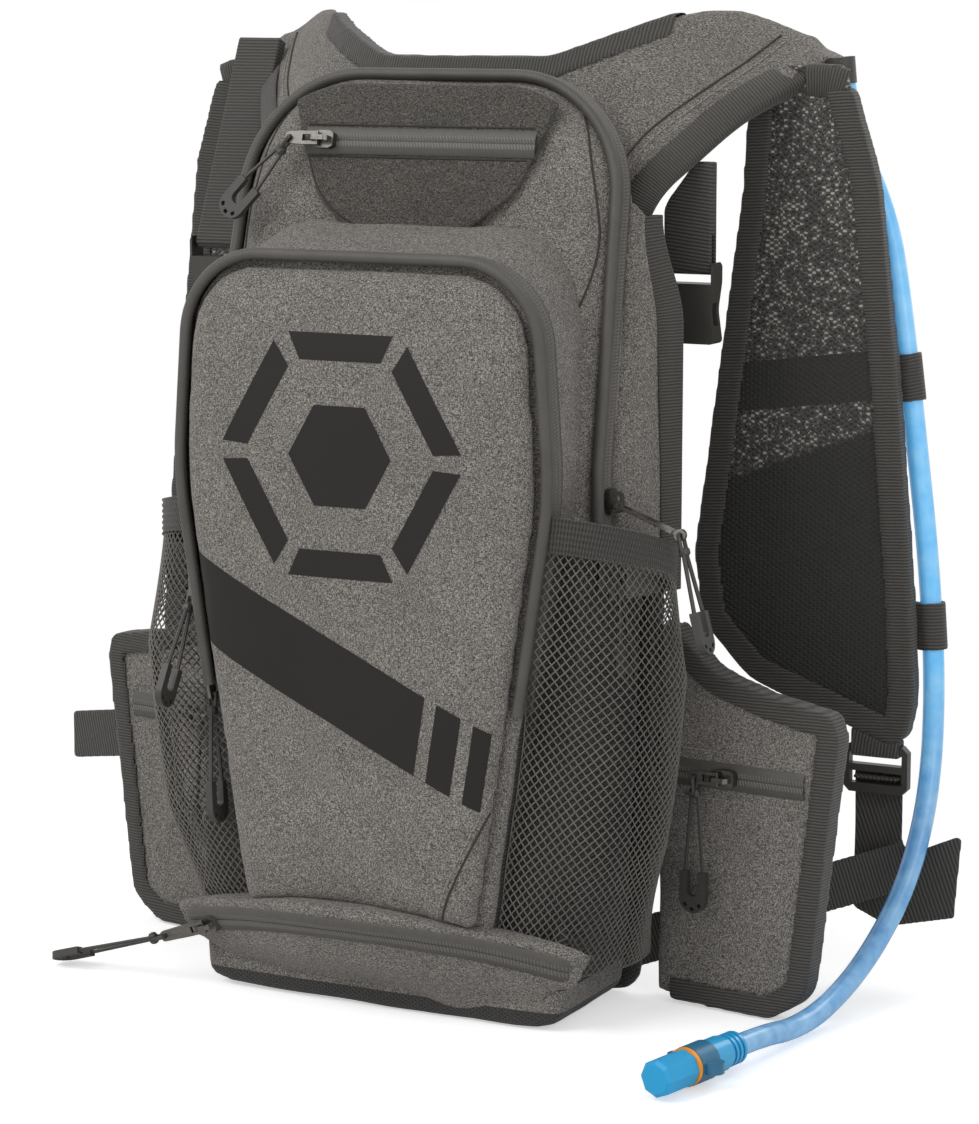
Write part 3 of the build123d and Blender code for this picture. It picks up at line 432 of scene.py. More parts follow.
# a dull rubber print is pressed on the panel: a band that falls to the right, cut by slashes,
# and a ring of six bars round a small hexagon. Its skin is wrinkled by the cloth under it.
rubber_print, tree, surface, place = new_material("screen_printed_rubber")
speck = add(tree, "ShaderNodeTexNoise", {0: place, "Scale": per_metre(1.11), "Detail": 2.0})
worn = add(tree, "ShaderNodeTexNoise", {0: place, "Scale": per_metre(45.5), "Detail": 3.0})
ink = add(tree, "ShaderNodeMix", {0: worn.outputs[0], 6: srgb("#171513"), 7: srgb("#201e1b")},
          data_type="RGBA")
gloss = add(tree, "ShaderNodeMapRange", {"Value": worn.outputs[0], "To Min": 0.46, "To Max": 0.6})
relief = add(tree, "ShaderNodeBump", {"Height": speck.outputs[0], "Strength": 0.2,
                                      "Distance": 0.0002})
rubber = add(tree, "ShaderNodeBsdfPrincipled",
             {"Base Color": ink.outputs[2], "Roughness": gloss.outputs[0],
              "Specular IOR Level": 0.3, "Normal": relief.outputs[0]})
tree.links.new(rubber.outputs[0], surface)
# how proud of the cloth the film stands, in metres
print_lift = 0.00025


def printed(bm_all, corners):
    """Print inside a convex outline (x, z) in mm: that part of the panel's face, lifted a bit."""
    bm = bmesh.new()
    bm.from_mesh(panel.data)
    back = [face for face in bm.faces if face.normal.y > -0.3]
    bmesh.ops.delete(bm, geom=back, context="FACES")
    for i, (x, z) in enumerate(corners):
        ahead = corners[(i + 1) % len(corners)]
        edge = Vector((ahead[0] - x, 0, ahead[1] - z))
        geom = bm.verts[:] + bm.edges[:] + bm.faces[:]
        bmesh.ops.bisect_plane(bm, geom=geom, plane_co=(x / 1000, 0, z / 1000),
                               plane_no=(edge.z, 0, -edge.x), clear_outer=True)
    for v in bm.verts:
        v.co.y -= print_lift
    mesh = bpy.data.meshes.new("patch")
    bm.to_mesh(mesh)
    bm.free()
    bm_all.from_mesh(mesh)
    bpy.data.meshes.remove(mesh)


def on_ring(radius, degrees):
    """Point (x, z) at a radius and an angle from the middle of the printed ring."""
    angle = math.radians(degrees)
    return ring_x + radius * math.cos(angle), ring_z + radius * math.sin(angle)


# the band's middle line falls this much for each mm to the right; its edges lie below that line
band_middle, fall, band_low, band_high, band_slant = 178, -0.47, 40, 2.8, 6
ring_x, ring_z, ring_outer, ring_inner, ring_gap, hexagon = -4, 268, 63, 49, 4, 27
bm = bmesh.new()
for left, right in ((-96, 34), (40, 52), (58, 66), (72, 77)):
    at_left, at_right = band_middle + fall * left, band_middle + fall * right
    printed(bm, [(left, at_left - band_low), (right, at_right - band_low),
                 (right + band_slant, at_right - band_high),
                 (left + band_slant, at_left - band_high)])
for start in range(0, 360, 60):
    a, b = start + ring_gap, start + 60 - ring_gap
    printed(bm, [on_ring(ring_outer, a), on_ring(ring_outer, b), on_ring(ring_inner, b),
                 on_ring(ring_inner, a)])
printed(bm, [on_ring(hexagon, degrees) for degrees in range(0, 360, 60)])
for face in bm.faces:
    face.smooth = True
mesh = bpy.data.meshes.new("panel_print")
bm.to_mesh(mesh)
bm.free()
mesh.materials.append(rubber_print)
print_piece = bpy.data.objects.new("panel_print", mesh)
bpy.context.scene.collection.objects.link(print_piece)
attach(print_piece, "pack")

# ------------------------------------------------------------------------ piping and zips
# Rolled rubber-coated piping of 6 mm stands along the seams of both pouches. The zips are
# reverse coils under a coated tape, so only two fine rows of teeth show through.


def laid(name, columns, rows, place, size, *materials):
    """Grid of cloth that measures size (width, length) in mm when flat. place(u, v), both from
    0 to 1, puts each of its points. Its UV map is in metres, with u from the middle."""
    bm = bmesh.new()
    flat = bm.loops.layers.uv.new("flat")
    bmesh.ops.create_grid(bm, x_segments=columns, y_segments=rows, size=0.5, calc_uvs=True)
    along = bm.verts.layers.float.new("along")
    for v in bm.verts:
        v[along] = (v.co.y + 0.5) * size[1] / 1000
        v.co = place(v.co.x + 0.5, v.co.y + 0.5)
    for face in bm.faces:
        for corner in face.loops:
            u, v = corner[flat].uv
            corner[flat].uv = ((u - 0.5) * size[0] / 1000, v * size[1] / 1000)
    bmesh.ops.remove_doubles(bm, verts=bm.verts, dist=0.0005)
    return made(name, bm, *materials)


def spaced(path, step):
    """The same line with even steps, in mm."""
    total = sum((b - a).length for a, b in zip(path, path[1:]))
    count = max(2, round(total / step))
    points, walked, index = [path[0].copy()], 0.0, 0
    for n in range(1, count):
        goal = total * n / count
        while index < len(path) - 2 and walked + (path[index + 1] - path[index]).length < goal:
            walked += (path[index + 1] - path[index]).length
            index += 1
        run = path[index + 1] - path[index]
        points.append(path[index] + run * ((goal - walked) / max(run.length, 1e-6)))
    return points + [path[-1].copy()]


def swept(name, path, out, profile, *materials):
    """Long piece of one section: profile (side, height) in mm, laid along a line. out(point) is
    the way that its height goes, and its side goes along out x line."""
    ways = [(path[min(i + 1, len(path) - 1)] - path[max(i - 1, 0)]).normalized()
            for i in range(len(path))]
    if (path[0] - path[-1]).length < 0.01:
        ways[0] = ways[-1] = (path[1] - path[-2]).normalized()
    sides = [out(p).cross(w).normalized() for p, w in zip(path, ways)]
    highs = [w.cross(s) for w, s in zip(ways, sides)]
    width = sum(math.dist(a, b) for a, b in zip(profile, profile[1:]))
    length = sum((b - a).length for a, b in zip(path, path[1:]))

    def place(u, v):
        i, j = round(u * (len(profile) - 1)), round(v * (len(path) - 1))
        return path[j] + sides[j] * profile[i][0] + highs[j] * profile[i][1]

    piece = laid(name, len(profile) - 1, len(path) - 1, place, (width, length), *materials)
    # an open section faces out, and a closed one faces away from the middle of its section
    faced = sum(face.normal.dot(out(face.center * 1000)) for face in piece.data.polygons)
    if profile[0] == profile[-1]:
        middle = sum((Vector(p) for p in profile[1:]), Vector((0, 0))) / (len(profile) - 1)
        first = piece.data.polygons[0]
        near = min(range(len(path)), key=lambda k: (path[k] - first.center * 1000).length)
        core = path[near] + sides[near] * middle.x + highs[near] * middle.y
        faced = first.normal.dot(first.center * 1000 - core)
    if faced < 0:
        piece.data.flip_normals()
    return piece


def ring_profile(radius, points=12):
    """Round section; its first point comes again at the end."""
    turns = [2 * math.pi * k / points for k in range(points + 1)]
    return [(radius * math.cos(turn), radius * math.sin(turn)) for turn in turns]


# thermoplastic rubber film over cord: satin, with the fine slanted ribs of the film's wrap,
# which this wave scale sets 1.2 mm apart
piping_rubber, tree, surface, place = new_material("rubber_coated_piping")
flat = add(tree, "ShaderNodeUVMap", uv_map="flat")
slant = add(tree, "ShaderNodeMapping", {0: flat.outputs[0], "Rotation": (0, 0, 0.75)})
ribs = add(tree, "ShaderNodeTexWave", {0: slant.outputs[0], "Scale": 260.0, "Distortion": 0.6})
scuffs = add(tree, "ShaderNodeTexNoise", {0: place, "Scale": per_metre(16.7), "Detail": 4.0})
film = add(tree, "ShaderNodeMix", {0: scuffs.outputs[0], 6: srgb("#3d3a36"), 7: srgb("#55524d")},
           data_type="RGBA")
relief = add(tree, "ShaderNodeBump", {"Height": ribs.outputs[1], "Strength": 0.35,
                                      "Distance": 0.0003})
satin = add(tree, "ShaderNodeBsdfPrincipled", {"Base Color": film.outputs[2], "Roughness": 0.5,
                                               "Normal": relief.outputs[0]})
tree.links.new(satin.outputs[0], surface)

# polyurethane-coated zip tape over a nylon coil: two rows of teeth print through, with a slit
# between them
tooth_pitch, row_off, row_half, slit_half = 0.0016, 0.0019, 0.0011, 0.00035
coated_tape, tree, surface, place = new_material("coated_coil_zip_tape")
flat = add(tree, "ShaderNodeUVMap", uv_map="flat")
spot = add(tree, "ShaderNodeSeparateXYZ", {0: flat.outputs[0]})
off = add(tree, "ShaderNodeMath", {0: spot.outputs[0]}, operation="ABSOLUTE")
lane = add(tree, "ShaderNodeMath", {0: off.outputs[0], 1: row_off, 2: row_half},
           operation="COMPARE")
lean = add(tree, "ShaderNodeMath", {0: spot.outputs[0], 1: 0.5, 2: spot.outputs[1]},
           operation="MULTIPLY_ADD")
tooth = add(tree, "ShaderNodeMath", {0: lean.outputs[0], 1: 2 * math.pi / tooth_pitch},
            operation="MULTIPLY")
tooth = add(tree, "ShaderNodeMath", {0: tooth.outputs[0]}, operation="SINE")
tooth = add(tree, "ShaderNodeMapRange", {"Value": tooth.outputs[0], "From Min": -0.5,
                                         "From Max": 0.8})
teeth = add(tree, "ShaderNodeMath", {0: tooth.outputs[0], 1: lane.outputs[0]}, operation="MULTIPLY")
slit = add(tree, "ShaderNodeMath", {0: off.outputs[0], 1: 0.0, 2: slit_half}, operation="COMPARE")
dust = add(tree, "ShaderNodeTexNoise", {0: place, "Scale": per_metre(3.12), "Detail": 3.0})
base = add(tree, "ShaderNodeMix", {0: dust.outputs[0], 6: srgb("#494641"), 7: srgb("#585550")},
           data_type="RGBA")
marked = add(tree, "ShaderNodeMix", {0: teeth.outputs[0], 6: base.outputs[2], 7: srgb("#6d6a64")},
             data_type="RGBA")
split = add(tree, "ShaderNodeMix", {0: slit.outputs[0], 6: marked.outputs[2], 7: srgb("#2c2a27")},
            data_type="RGBA")
relief = add(tree, "ShaderNodeBump", {"Height": teeth.outputs[0], "Strength": 0.5,
                                      "Distance": 0.0004})
coat = add(tree, "ShaderNodeBsdfPrincipled", {"Base Color": split.outputs[2], "Roughness": 0.55,
                                              "Normal": relief.outputs[0]})
tree.links.new(coat.outputs[0], surface)

# section across the 13 mm of tape on show: its edges are sewn down, the coil lifts its middle
tape_profile = [(-6.6, -0.3), (-6.2, 0.25), (-4.4, 0.6), (-3.4, 1.25), (-1.0, 1.4), (-0.25, 0.9),
                (0.25, 0.9), (1.0, 1.4), (3.4, 1.25), (4.4, 0.6), (6.2, 0.25), (6.6, -0.3)]


def arch_out(p):
    """Outward normal of the main arch at a point on its line."""
    flat = Vector((p.x, 0, p.z))
    near = min(range(len(arch_fine)), key=lambda k: (arch_fine[k] - flat).length)
    a, b = arch_fine[max(near - 1, 0)], arch_fine[min(near + 1, len(arch_fine) - 1)]
    way = (b - a).normalized()
    return Vector((way.z, 0, -way.x))


arch_fine = spaced(arch_line, 3.0)
if arch_fine[0].x < 0:
    arch_fine.reverse()
main_zip_low, main_piping_low, piping_ahead = 205, 238, 9.4
zip_line = [Vector((p.x, seam_y(p.z), p.z)) for p in arch_fine if p.z > main_zip_low]
main_zip = swept("main_zip", zip_line, arch_out, tape_profile, coated_tape)
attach(main_zip, "pack")
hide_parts("zip_tape_main")
roll_line = [p + Vector((0, -piping_ahead, 0)) + arch_out(p) * 0.2 for p in zip_line
             if p.z > main_piping_low]
main_piping = swept("main_piping", roll_line, arch_out, ring_profile(2.9), piping_rubber)
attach(main_piping, "pack")
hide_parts("piping_main")

front_fine = spaced(front_line + [front_line[0]], 3.0)
front_middle_z, front_zip_low = 210, 150


def front_out(p):
    """Outward normal of the front pocket's outline at a point on it."""
    flat = Vector((p.x, 0, p.z))
    near = min(range(len(front_fine)), key=lambda k: (front_fine[k] - flat).length)
    a, b = front_fine[near - 1], front_fine[(near + 1) % len(front_fine)]
    way = (b - a).normalized()
    side = Vector((way.z, 0, -way.x))
    return side if side.dot(Vector((p.x, 0, p.z - front_middle_z))) > 0 else -side


# the zip and its piping run round the top, and end where the taper starts
rim = [p for p in front_fine[:-1] if p.z > front_zip_low]
start = max(range(len(rim)), key=lambda k: (rim[k] - rim[k - 1]).length)
rim = rim[start:] + rim[:start]
rim_line = [Vector((p.x, edge_y - 2.6, p.z)) for p in rim]
front_piping = swept("front_piping", rim_line, front_out, ring_profile(2.8, 14), piping_rubber)
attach(front_piping, "pack")
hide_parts("piping_front")
zip_line = [Vector((p.x, edge_y + 7.5, p.z)) for p in rim]
front_zip = swept("front_zip", zip_line, front_out, tape_profile, coated_tape)
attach(front_zip, "pack")
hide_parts("zip_tape_front")

# ---------------------------------------------------------------------------- top patch
# The small pocket under the arch: a flat patch of a denser, darker melange with a zip across
# it. Its seams are turned in, so its edge is thin and soft.
patch_cloth = heather("dense_melange_polyester", "#211f1c", "#474440", "#74706a")
patch = soft_copy("top_patch_cloth", "top_pocket", 1.5, 3, patch_cloth)
worked(patch, lambda place, normal: (0.5 * waves(place, 30, 12) + 0.15 * waves(place, 9, 7)
                                     - 0.1))
moved(patch, drawn_in)


def stretched(p):
    """The patch fills the arch: it tucks under the piping, its lower left corner drawn out."""
    wider = p.x * 0.06 * ease((p.z - 385) / 35)
    corner = 7 * ease(-p.x / 20) * ease((397 - p.z) / 24)
    return Vector((wider - corner, 0, 5 * ease((p.z - 402) / 20)))


moved(patch, stretched)
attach(patch, "pack")
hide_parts("top_pocket")


def skin(piece):
    """A piece's surface in mm, to lay things on."""
    return BVHTree.FromPolygons([v.co * 1000 for v in piece.data.vertices],
                                [face.vertices[:] for face in piece.data.polygons])


def onto(surface, points, lift=0.0, way=Vector((0, 1, 0))):
    """Points carried along a way until they lie on a surface, and how it faces there."""
    found = []
    for p in points:
        hit, normal, index, far = surface.ray_cast(Vector(p) - way * 200, way)
        if hit is not None:
            found.append((hit + normal * lift, normal))
    return found


patch_skin = skin(patch)
patch_zip_z, patch_zip_half = 409, 61
along_patch = [(x, 0, patch_zip_z) for x in range(-patch_zip_half, patch_zip_half + 1, 2)]
zip_line = [p for p, n in onto(patch_skin, along_patch, 0.3)]
patch_out = Vector((0, seam_knee.z - seam_high.z, seam_high.y - seam_knee.y)).normalized()
patch_zip = swept("patch_zip", zip_line, lambda p: patch_out, tape_profile, coated_tape)
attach(patch_zip, "pack")
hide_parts("zip_tape_top")

# ------------------------------------------------------------------------ bottom pocket
# A crescent pouch low on the front, of the body's cloth. Its zip lies along the arched edge
# under a narrow roll of the cloth, and its underside runs back to the mesh floor of the pack.
chin = soft_copy("bottom_pocket_cloth", "bottom_pocket", 2.0, 9, heather_polyester)
worked(chin, lambda place, normal: (1.3 * waves(place, 38, 31) + 0.3 * waves(place, 13, 3)
                                    - 0.2))


def slumped(p):
    """The pocket's ends are drawn out, and its underside tucks back and up towards the left."""
    under = ease(1 - p.z / 26)
    drawn = math.copysign(15 * ease((abs(p.x) - 52) / 48), p.x)
    return Vector((drawn, 5 * under, 2 + 8 * under * ease((48 - p.x) / 40)))


moved(chin, slumped)
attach(chin, "pack")
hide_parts("bottom_pocket")
chin_rise, chin_reach, chin_top = 30.0, 136.0, 54.0
chin_radius = (chin_reach ** 2 + chin_rise ** 2) / (2 * chin_rise)


def chin_edge(x, drop):
    """Height of the bottom pocket's arched edge, or of a line some mm under it."""
    return chin_top - drop - (chin_radius - math.sqrt(chin_radius ** 2 - x * x))


chin_skin = skin(chin)
chin_zip_half, chin_zip_drop = 111, 9.5
lain = onto(chin_skin, [(x, 0, chin_edge(x * 0.88, chin_zip_drop))
                        for x in range(-chin_zip_half, chin_zip_half + 1, 3)], 0.3)
# both ends of the tape are turned in under the cloth
zip_line = [p - n * 4 * ease((abs(p.x) - 100) / 9) for p, n in lain]


def chin_out(p):
    """How the bottom pocket faces near a point of its zip."""
    return lain[min(range(len(lain)), key=lambda k: abs(lain[k][0].x - p.x))][1]


chin_zip = swept("chin_zip", zip_line, chin_out, tape_profile, coated_tape)
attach(chin_zip, "pack")
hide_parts("zip_tape_bottom")

# --------------------------------------------------------------------- yoke and its seams
# The yoke joins the pack's top to both straps: body cloth over 8 mm foam. Panels meet in
# plain seams with a lapped row of long stitches beside them.
yoke = soft_copy("yoke_cloth", "shoulder_yoke", 2.0, 12, heather_polyester)
worked(yoke, lambda place, normal: 1.1 * waves(place, 55, 41) + 0.4 * waves(place, 19, 6))


def drawn_down(p):
    """Over each strap the cloth is drawn down level with the tape."""
    proud = max(0, p.z - 452 + 0.4 * (abs(p.x) - 150))
    return Vector((0, 0, -0.85 * proud * ease((abs(p.x) - 146) / 8)))


moved(yoke, drawn_down)
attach(yoke, "pack")
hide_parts("shoulder_yoke")

# dull dark lines lie deep in the seams: painted shade of the seam grooves, drawn as thin tubes
seam_shade_line, tree, surface, place = new_material("painted_seam_shadow")
ply = add(tree, "ShaderNodeTexNoise", {0: place, "Scale": per_metre(1.43), "Detail": 2.0})
tone = add(tree, "ShaderNodeMix", {0: ply.outputs[0], 6: srgb("#26241f"), 7: srgb("#37342f")},
           data_type="RGBA")
yarn = add(tree, "ShaderNodeBsdfPrincipled", {"Base Color": tone.outputs[2], "Roughness": 0.8})
tree.links.new(yarn.outputs[0], surface)

# a lighter, slightly shiny sewing thread is on show, its twist drawn by waves 0.5 mm apart
top_thread, tree, surface, place = new_material("topstitch_thread")
ply = add(tree, "ShaderNodeTexWave", {0: place, "Scale": 600.0, "Distortion": 2.0})
tone = add(tree, "ShaderNodeMix", {0: ply.outputs[1], 6: srgb("#77736c"), 7: srgb("#a09b93")},
           data_type="RGBA")
yarn = add(tree, "ShaderNodeBsdfPrincipled", {"Base Color": tone.outputs[2], "Roughness": 0.6,
                                              "Sheen Weight": 0.2})
tree.links.new(yarn.outputs[0], surface)


def threads(name, lines, radius, material):
    """Sewn threads, or dark lines of painted seam shade: one curve object with a line through each
    list of points.
    """
    curve = bpy.data.curves.new(name, "CURVE")
    curve.dimensions = "3D"
    curve.bevel_depth = radius / 1000
    curve.bevel_resolution = 1
    curve.use_fill_caps = True
    for line in lines:
        spline = curve.splines.new("POLY")
        spline.points.add(len(line) - 1)
        for point, p in zip(spline.points, line):
            point.co = (p.x / 1000, p.y / 1000, p.z / 1000, 1)
    curve.materials.append(material)
    piece = bpy.data.objects.new(name, curve)
    bpy.context.scene.collection.objects.link(piece)
    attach(piece, "pack")
    return piece


def dashes(path, pitch, length):
    """Stitches of a length every pitch along a line."""
    stops = spaced(path, pitch)
    return [[a, a + (b - a) * (length / pitch)] for a, b in zip(stops, stops[1:])]


def smooth_line(points, step=4.0):
    """A soft curve through a few points, in mm, with even steps."""
    points = [Vector(p) for p in points]
    ends = [points[0] * 2 - points[1]] + points + [points[-1] * 2 - points[-2]]
    line = []
    for a, b, c, d in zip(ends, ends[1:], ends[2:], ends[3:]):
        for k in range(12):
            t = k / 12
            line.append(0.5 * (2 * b + (c - a) * t + (2 * a - 5 * b + 4 * c - d) * t * t
                               + (3 * b - a - 3 * c + d) * t ** 3))
    return spaced(line + [points[-1]], step)


def sewn(surface, path, lift):
    """A line laid on a surface, a bit proud of it, for stitches, a zip and the lines of painted
    seam shade.
    """
    return [place for place, normal in onto(surface, path, lift)]


yoke_skin = skin(yoke)
pouch_skin = skin(pouch)
panel_skin = skin(panel)
stitch_pitch, stitch_length, stitch_lift = 4.2, 2.9, 0.3
# seam_lines are dark tubes of painted shade in the seam grooves; stitch_lines are real topstitching
seam_lines, stitch_lines = [], []
for side in (1, -1):
    # down from the neck over the yoke, with a row of stitches below it
    path = smooth_line([(side * 84, 44, 392), (side * 93, 54, 410), (side * 101, 63, 420),
                        (side * 109, 75, 428), (side * 124, 100, 444), (side * 134, 112, 458)])
    seam_lines.append(sewn(yoke_skin, path, 0.15))
    beside = [p + Vector((side * 3.0, 0, -2.4)) for p in path]
    stitch_lines += dashes(sewn(yoke_skin, beside, stitch_lift), stitch_pitch, stitch_length)
    # between the main pouch's front and its side
    path = smooth_line([(side * x, 0, z) for x, z in (
        (75.3, 427), (84, 411), (92, 381), (94, 362), (91, 342), (84, 322), (76, 306))])
    seam_lines.append(sewn(pouch_skin, path, 0.1))
for side in (1, -1):
    # round the lower edge of the patch
    path = smooth_line([(side * x, 0, z) for x, z in (
        (71, 425), (64.5, 414), (60, 403), (54, 389), (43, 377), (30, 370))], 3.0)
    seam_lines.append(sewn(patch_skin, path, 0.1))
for height in (patch_zip_z - 7.4, patch_zip_z + 7.4):
    # along both edges of the patch's zip tape
    path = [(x, 0, height) for x in range(-patch_zip_half + 1, patch_zip_half, 3)]
    seam_lines.append(sewn(patch_skin, path, 0))
# the panel's lower right corner is pieced in behind a slanting seam
path = smooth_line([(74, 0, 118), (67, 0, 101), (57, 0, 80), (49, 0, 62), (45, 0, 50)])
seam_lines.append(sewn(panel_skin, path, 0.1))
beside = [p + Vector((-2.6, 0, 1.2)) for p in path]
stitch_lines += dashes(sewn(panel_skin, beside, stitch_lift), stitch_pitch, stitch_length)
threads("seam_lines", [line for line in seam_lines if len(line) > 1], 0.55, seam_shade_line)
threads("stitches_yoke", stitch_lines, 0.36, top_thread)

# -------------------------------------------------------- back panel, pads and shoulder straps
# What lies on the wearer is foam under an open spacer mesh: near-black polyester with small
# staggered holes, painted darker as shade. The straps' top third has a wider mesh, with specks
# of painted light in its holes that stand for light shining through.


def spacer_mesh(name, thread, hole, pitch, banded=False):
    """Warp-knit spacer mesh: staggered round holes of a pitch in metres between threads flecked
    with painted glints; the holes are painted darker as shade. Real holes are taken to be half as
    far apart, which would blur, so these are coarser."""
    material, tree, surface, place = new_material(name)
    spot = add(tree, "ShaderNodeSeparateXYZ", {0: place})
    sideways = add(tree, "ShaderNodeMath", {0: spot.outputs[0], 1: 2 * math.pi / pitch},
                   operation="MULTIPLY")
    upright = add(tree, "ShaderNodeMath", {0: spot.outputs[2], 1: 2 * math.pi / (pitch * 0.62)},
                  operation="MULTIPLY")
    column = add(tree, "ShaderNodeMath", {0: sideways.outputs[0]}, operation="SINE")
    row = add(tree, "ShaderNodeMath", {0: upright.outputs[0]}, operation="SINE")
    crossed = add(tree, "ShaderNodeMath", {0: column.outputs[0], 1: row.outputs[0]},
                  operation="MULTIPLY")
    holes = add(tree, "ShaderNodeMapRange", {"Value": crossed.outputs[0], "From Min": -0.15,
                                             "From Max": 0.35})
    # this noise flecks the threads with painted glints and varies the holes' near-black, which is
    # painted shade
    fuzz_and_glint = add(tree, "ShaderNodeTexNoise", {0: place, "Scale": per_metre(1.11), "Detail": 2.0})
    glint = add(tree, "ShaderNodeMix", {0: fuzz_and_glint.outputs[0], 6: srgb(hole), 7: srgb(thread)},
                data_type="RGBA")
    openings = holes.outputs[0]
    deep = add(tree, "ShaderNodeMix", {0: fuzz_and_glint.outputs[0], 6: srgb("#0c0b0a"), 7: srgb("#1b1917")},
               data_type="RGBA")
    if banded:
        # above a slanting seam the mesh is open, and specks of painted light in some holes stand
        # for light shining through; a plain band of 24 mm is sewn across it
        slope = add(tree, "ShaderNodeMath", {0: spot.outputs[0]}, operation="ABSOLUTE")
        seam = add(tree, "ShaderNodeMath", {0: slope.outputs[0], 1: -knit_seam_slope,
                                            2: spot.outputs[2]}, operation="MULTIPLY_ADD")
        upper = add(tree, "ShaderNodeMapRange", {"Value": seam.outputs[0],
                                                 "From Min": knit_seam_z - 0.002,
                                                 "From Max": knit_seam_z + 0.002})
        level = add(tree, "ShaderNodeMath", {0: slope.outputs[0], 1: -band_slope,
                                             2: spot.outputs[2]}, operation="MULTIPLY_ADD")
        band = add(tree, "ShaderNodeMath", {0: level.outputs[0], 1: band_z, 2: band_half},
                   operation="COMPARE")
        through = add(tree, "ShaderNodeTexNoise", {0: place, "Scale": per_metre(2.38)})
        bright = add(tree, "ShaderNodeMapRange", {"Value": through.outputs[0], "From Min": 0.5,
                                                  "From Max": 0.62})
        speck = add(tree, "ShaderNodeMix", {0: bright.outputs[0], 6: srgb("#1b1917"),
                                            7: srgb("#aaa69f")}, data_type="RGBA")
        deep = add(tree, "ShaderNodeMix", {0: upper.outputs[0], 6: deep.outputs[2],
                                           7: speck.outputs[2]}, data_type="RGBA")
        plain = add(tree, "ShaderNodeMath", {0: 1.0, 1: band.outputs[0]}, operation="SUBTRACT")
        openings = add(tree, "ShaderNodeMath", {0: holes.outputs[0], 1: plain.outputs[0]},
                       operation="MULTIPLY").outputs[0]
        dim = add(tree, "ShaderNodeMix", {0: upper.outputs[0], 6: srgb("#23211e"), 7: srgb(thread)},
                  data_type="RGBA")
        dim = add(tree, "ShaderNodeMix", {0: band.outputs[0], 6: dim.outputs[2],
                                          7: srgb("#1f1d1a")}, data_type="RGBA")
        glint = add(tree, "ShaderNodeMix", {0: fuzz_and_glint.outputs[0], 6: srgb(hole), 7: dim.outputs[2]},
                    data_type="RGBA")
    colour = add(tree, "ShaderNodeMix", {0: openings, 6: glint.outputs[2], 7: deep.outputs[2]},
                 data_type="RGBA")
    dent = add(tree, "ShaderNodeMath", {0: 1.0, 1: holes.outputs[0]}, operation="SUBTRACT")
    relief = add(tree, "ShaderNodeBump", {"Height": dent.outputs[0], "Strength": 0.8,
                                          "Distance": 0.0008})
    knit = add(tree, "ShaderNodeBsdfPrincipled",
               {"Base Color": colour.outputs[2], "Roughness": 0.62, "Sheen Weight": 0.15,
                "Normal": relief.outputs[0]})
    tree.links.new(knit.outputs[0], surface)
    return material


# the seam and the band across each strap: height at x = 0 and rise per metre out, in metres
knit_seam_z, knit_seam_slope = 0.201, 0.376
band_z, band_slope, band_half = 0.2736, 0.127, 0.012
strap_knit = spacer_mesh("open_spacer_mesh", "#54514c", "#1f1d1b", 0.0044, True)
back_knit = spacer_mesh("fine_spacer_mesh", "#3f3d39", "#24221f", 0.0034)
for name, node, knit, slot, cell, rounds, fill, seed in (
        ("back_panel_cloth", "back_panel", back_knit, "back_mesh", 2.8, 4, 0.4, 51),
        ("back_pads_cloth", "back_pads", back_knit, "back_mesh", 2.4, 6, 0.7, 52),
        ("strap_right_cloth", "shoulder_strap_right", strap_knit, "strap_mesh", 2.2, 4, 0.6, 53),
        ("strap_left_cloth", "shoulder_strap_left", strap_knit, "strap_mesh", 2.2, 4, 0.6, 54)):
    pad = soft_copy(name, node, cell, rounds, knit)
    worked(pad, lambda place, normal: 0.8 * waves(place, 45, seed) + 0.3 * waves(place, 15, seed))
    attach(pad, "pack")
    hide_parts(node)

# --------------------------------------------------------------------------- hip wings
# Padded wings of the body cloth that hold the waist webbing. Each has a flat zipped pocket
# with a coated tape between two rows of stitches.

# each wing leaves the back panel at its own angle; heights and lengths along it are in mm
wing_off, hip_zip_z, hip_stitches_off = 6.6, 114, 11.5
wing_stitches = []
for side, word, sweep in ((1, "right", math.radians(-7)), (-1, "left", math.radians(11))):
    name = "hip_wing_" + word
    wing = soft_copy(name + "_cloth", name, 2.4, 4, heather_polyester)
    worked(wing, lambda place, normal: (0.9 * waves(place, 36, 60 + side)
                                        + 0.3 * waves(place, 14, 9)))
    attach(wing, "pack")
    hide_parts(name)
    wing_skin = skin(wing)
    step_off = max(0.0, 10 * math.sin(sweep))
    root = Vector((side * (widest + wing_off + step_off), back_y - 1, 0))
    run = Vector((side * math.cos(sweep), math.sin(sweep), 0))
    face = Vector((side * math.sin(sweep), -math.cos(sweep), 0))
    along = [root + run * s + Vector((0, 0, hip_zip_z)) for s in range(4, 80, 3)]
    hip_zip = swept("hip_zip_" + word, sewn(wing_skin, along, 0.25), lambda p: face,
                    tape_profile, coated_tape)
    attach(hip_zip, "pack")
    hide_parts("zip_tapes_hip")
    for height in (hip_zip_z - hip_stitches_off, hip_zip_z + hip_stitches_off):
        row = [root + run * s + Vector((0, 0, height)) for s in range(3, 83, 2)]
        wing_stitches += dashes(sewn(wing_skin, row, 0.2), 3.4, 2.3)
threads("stitches_wings", wing_stitches, 0.34, top_thread)

# ---------------------------------------------------------------------- woven bindings
# Ribbed polyester binding, folded over the raw edges at the neck, round the straps and along
# the wings. It puckers a little where it turns.


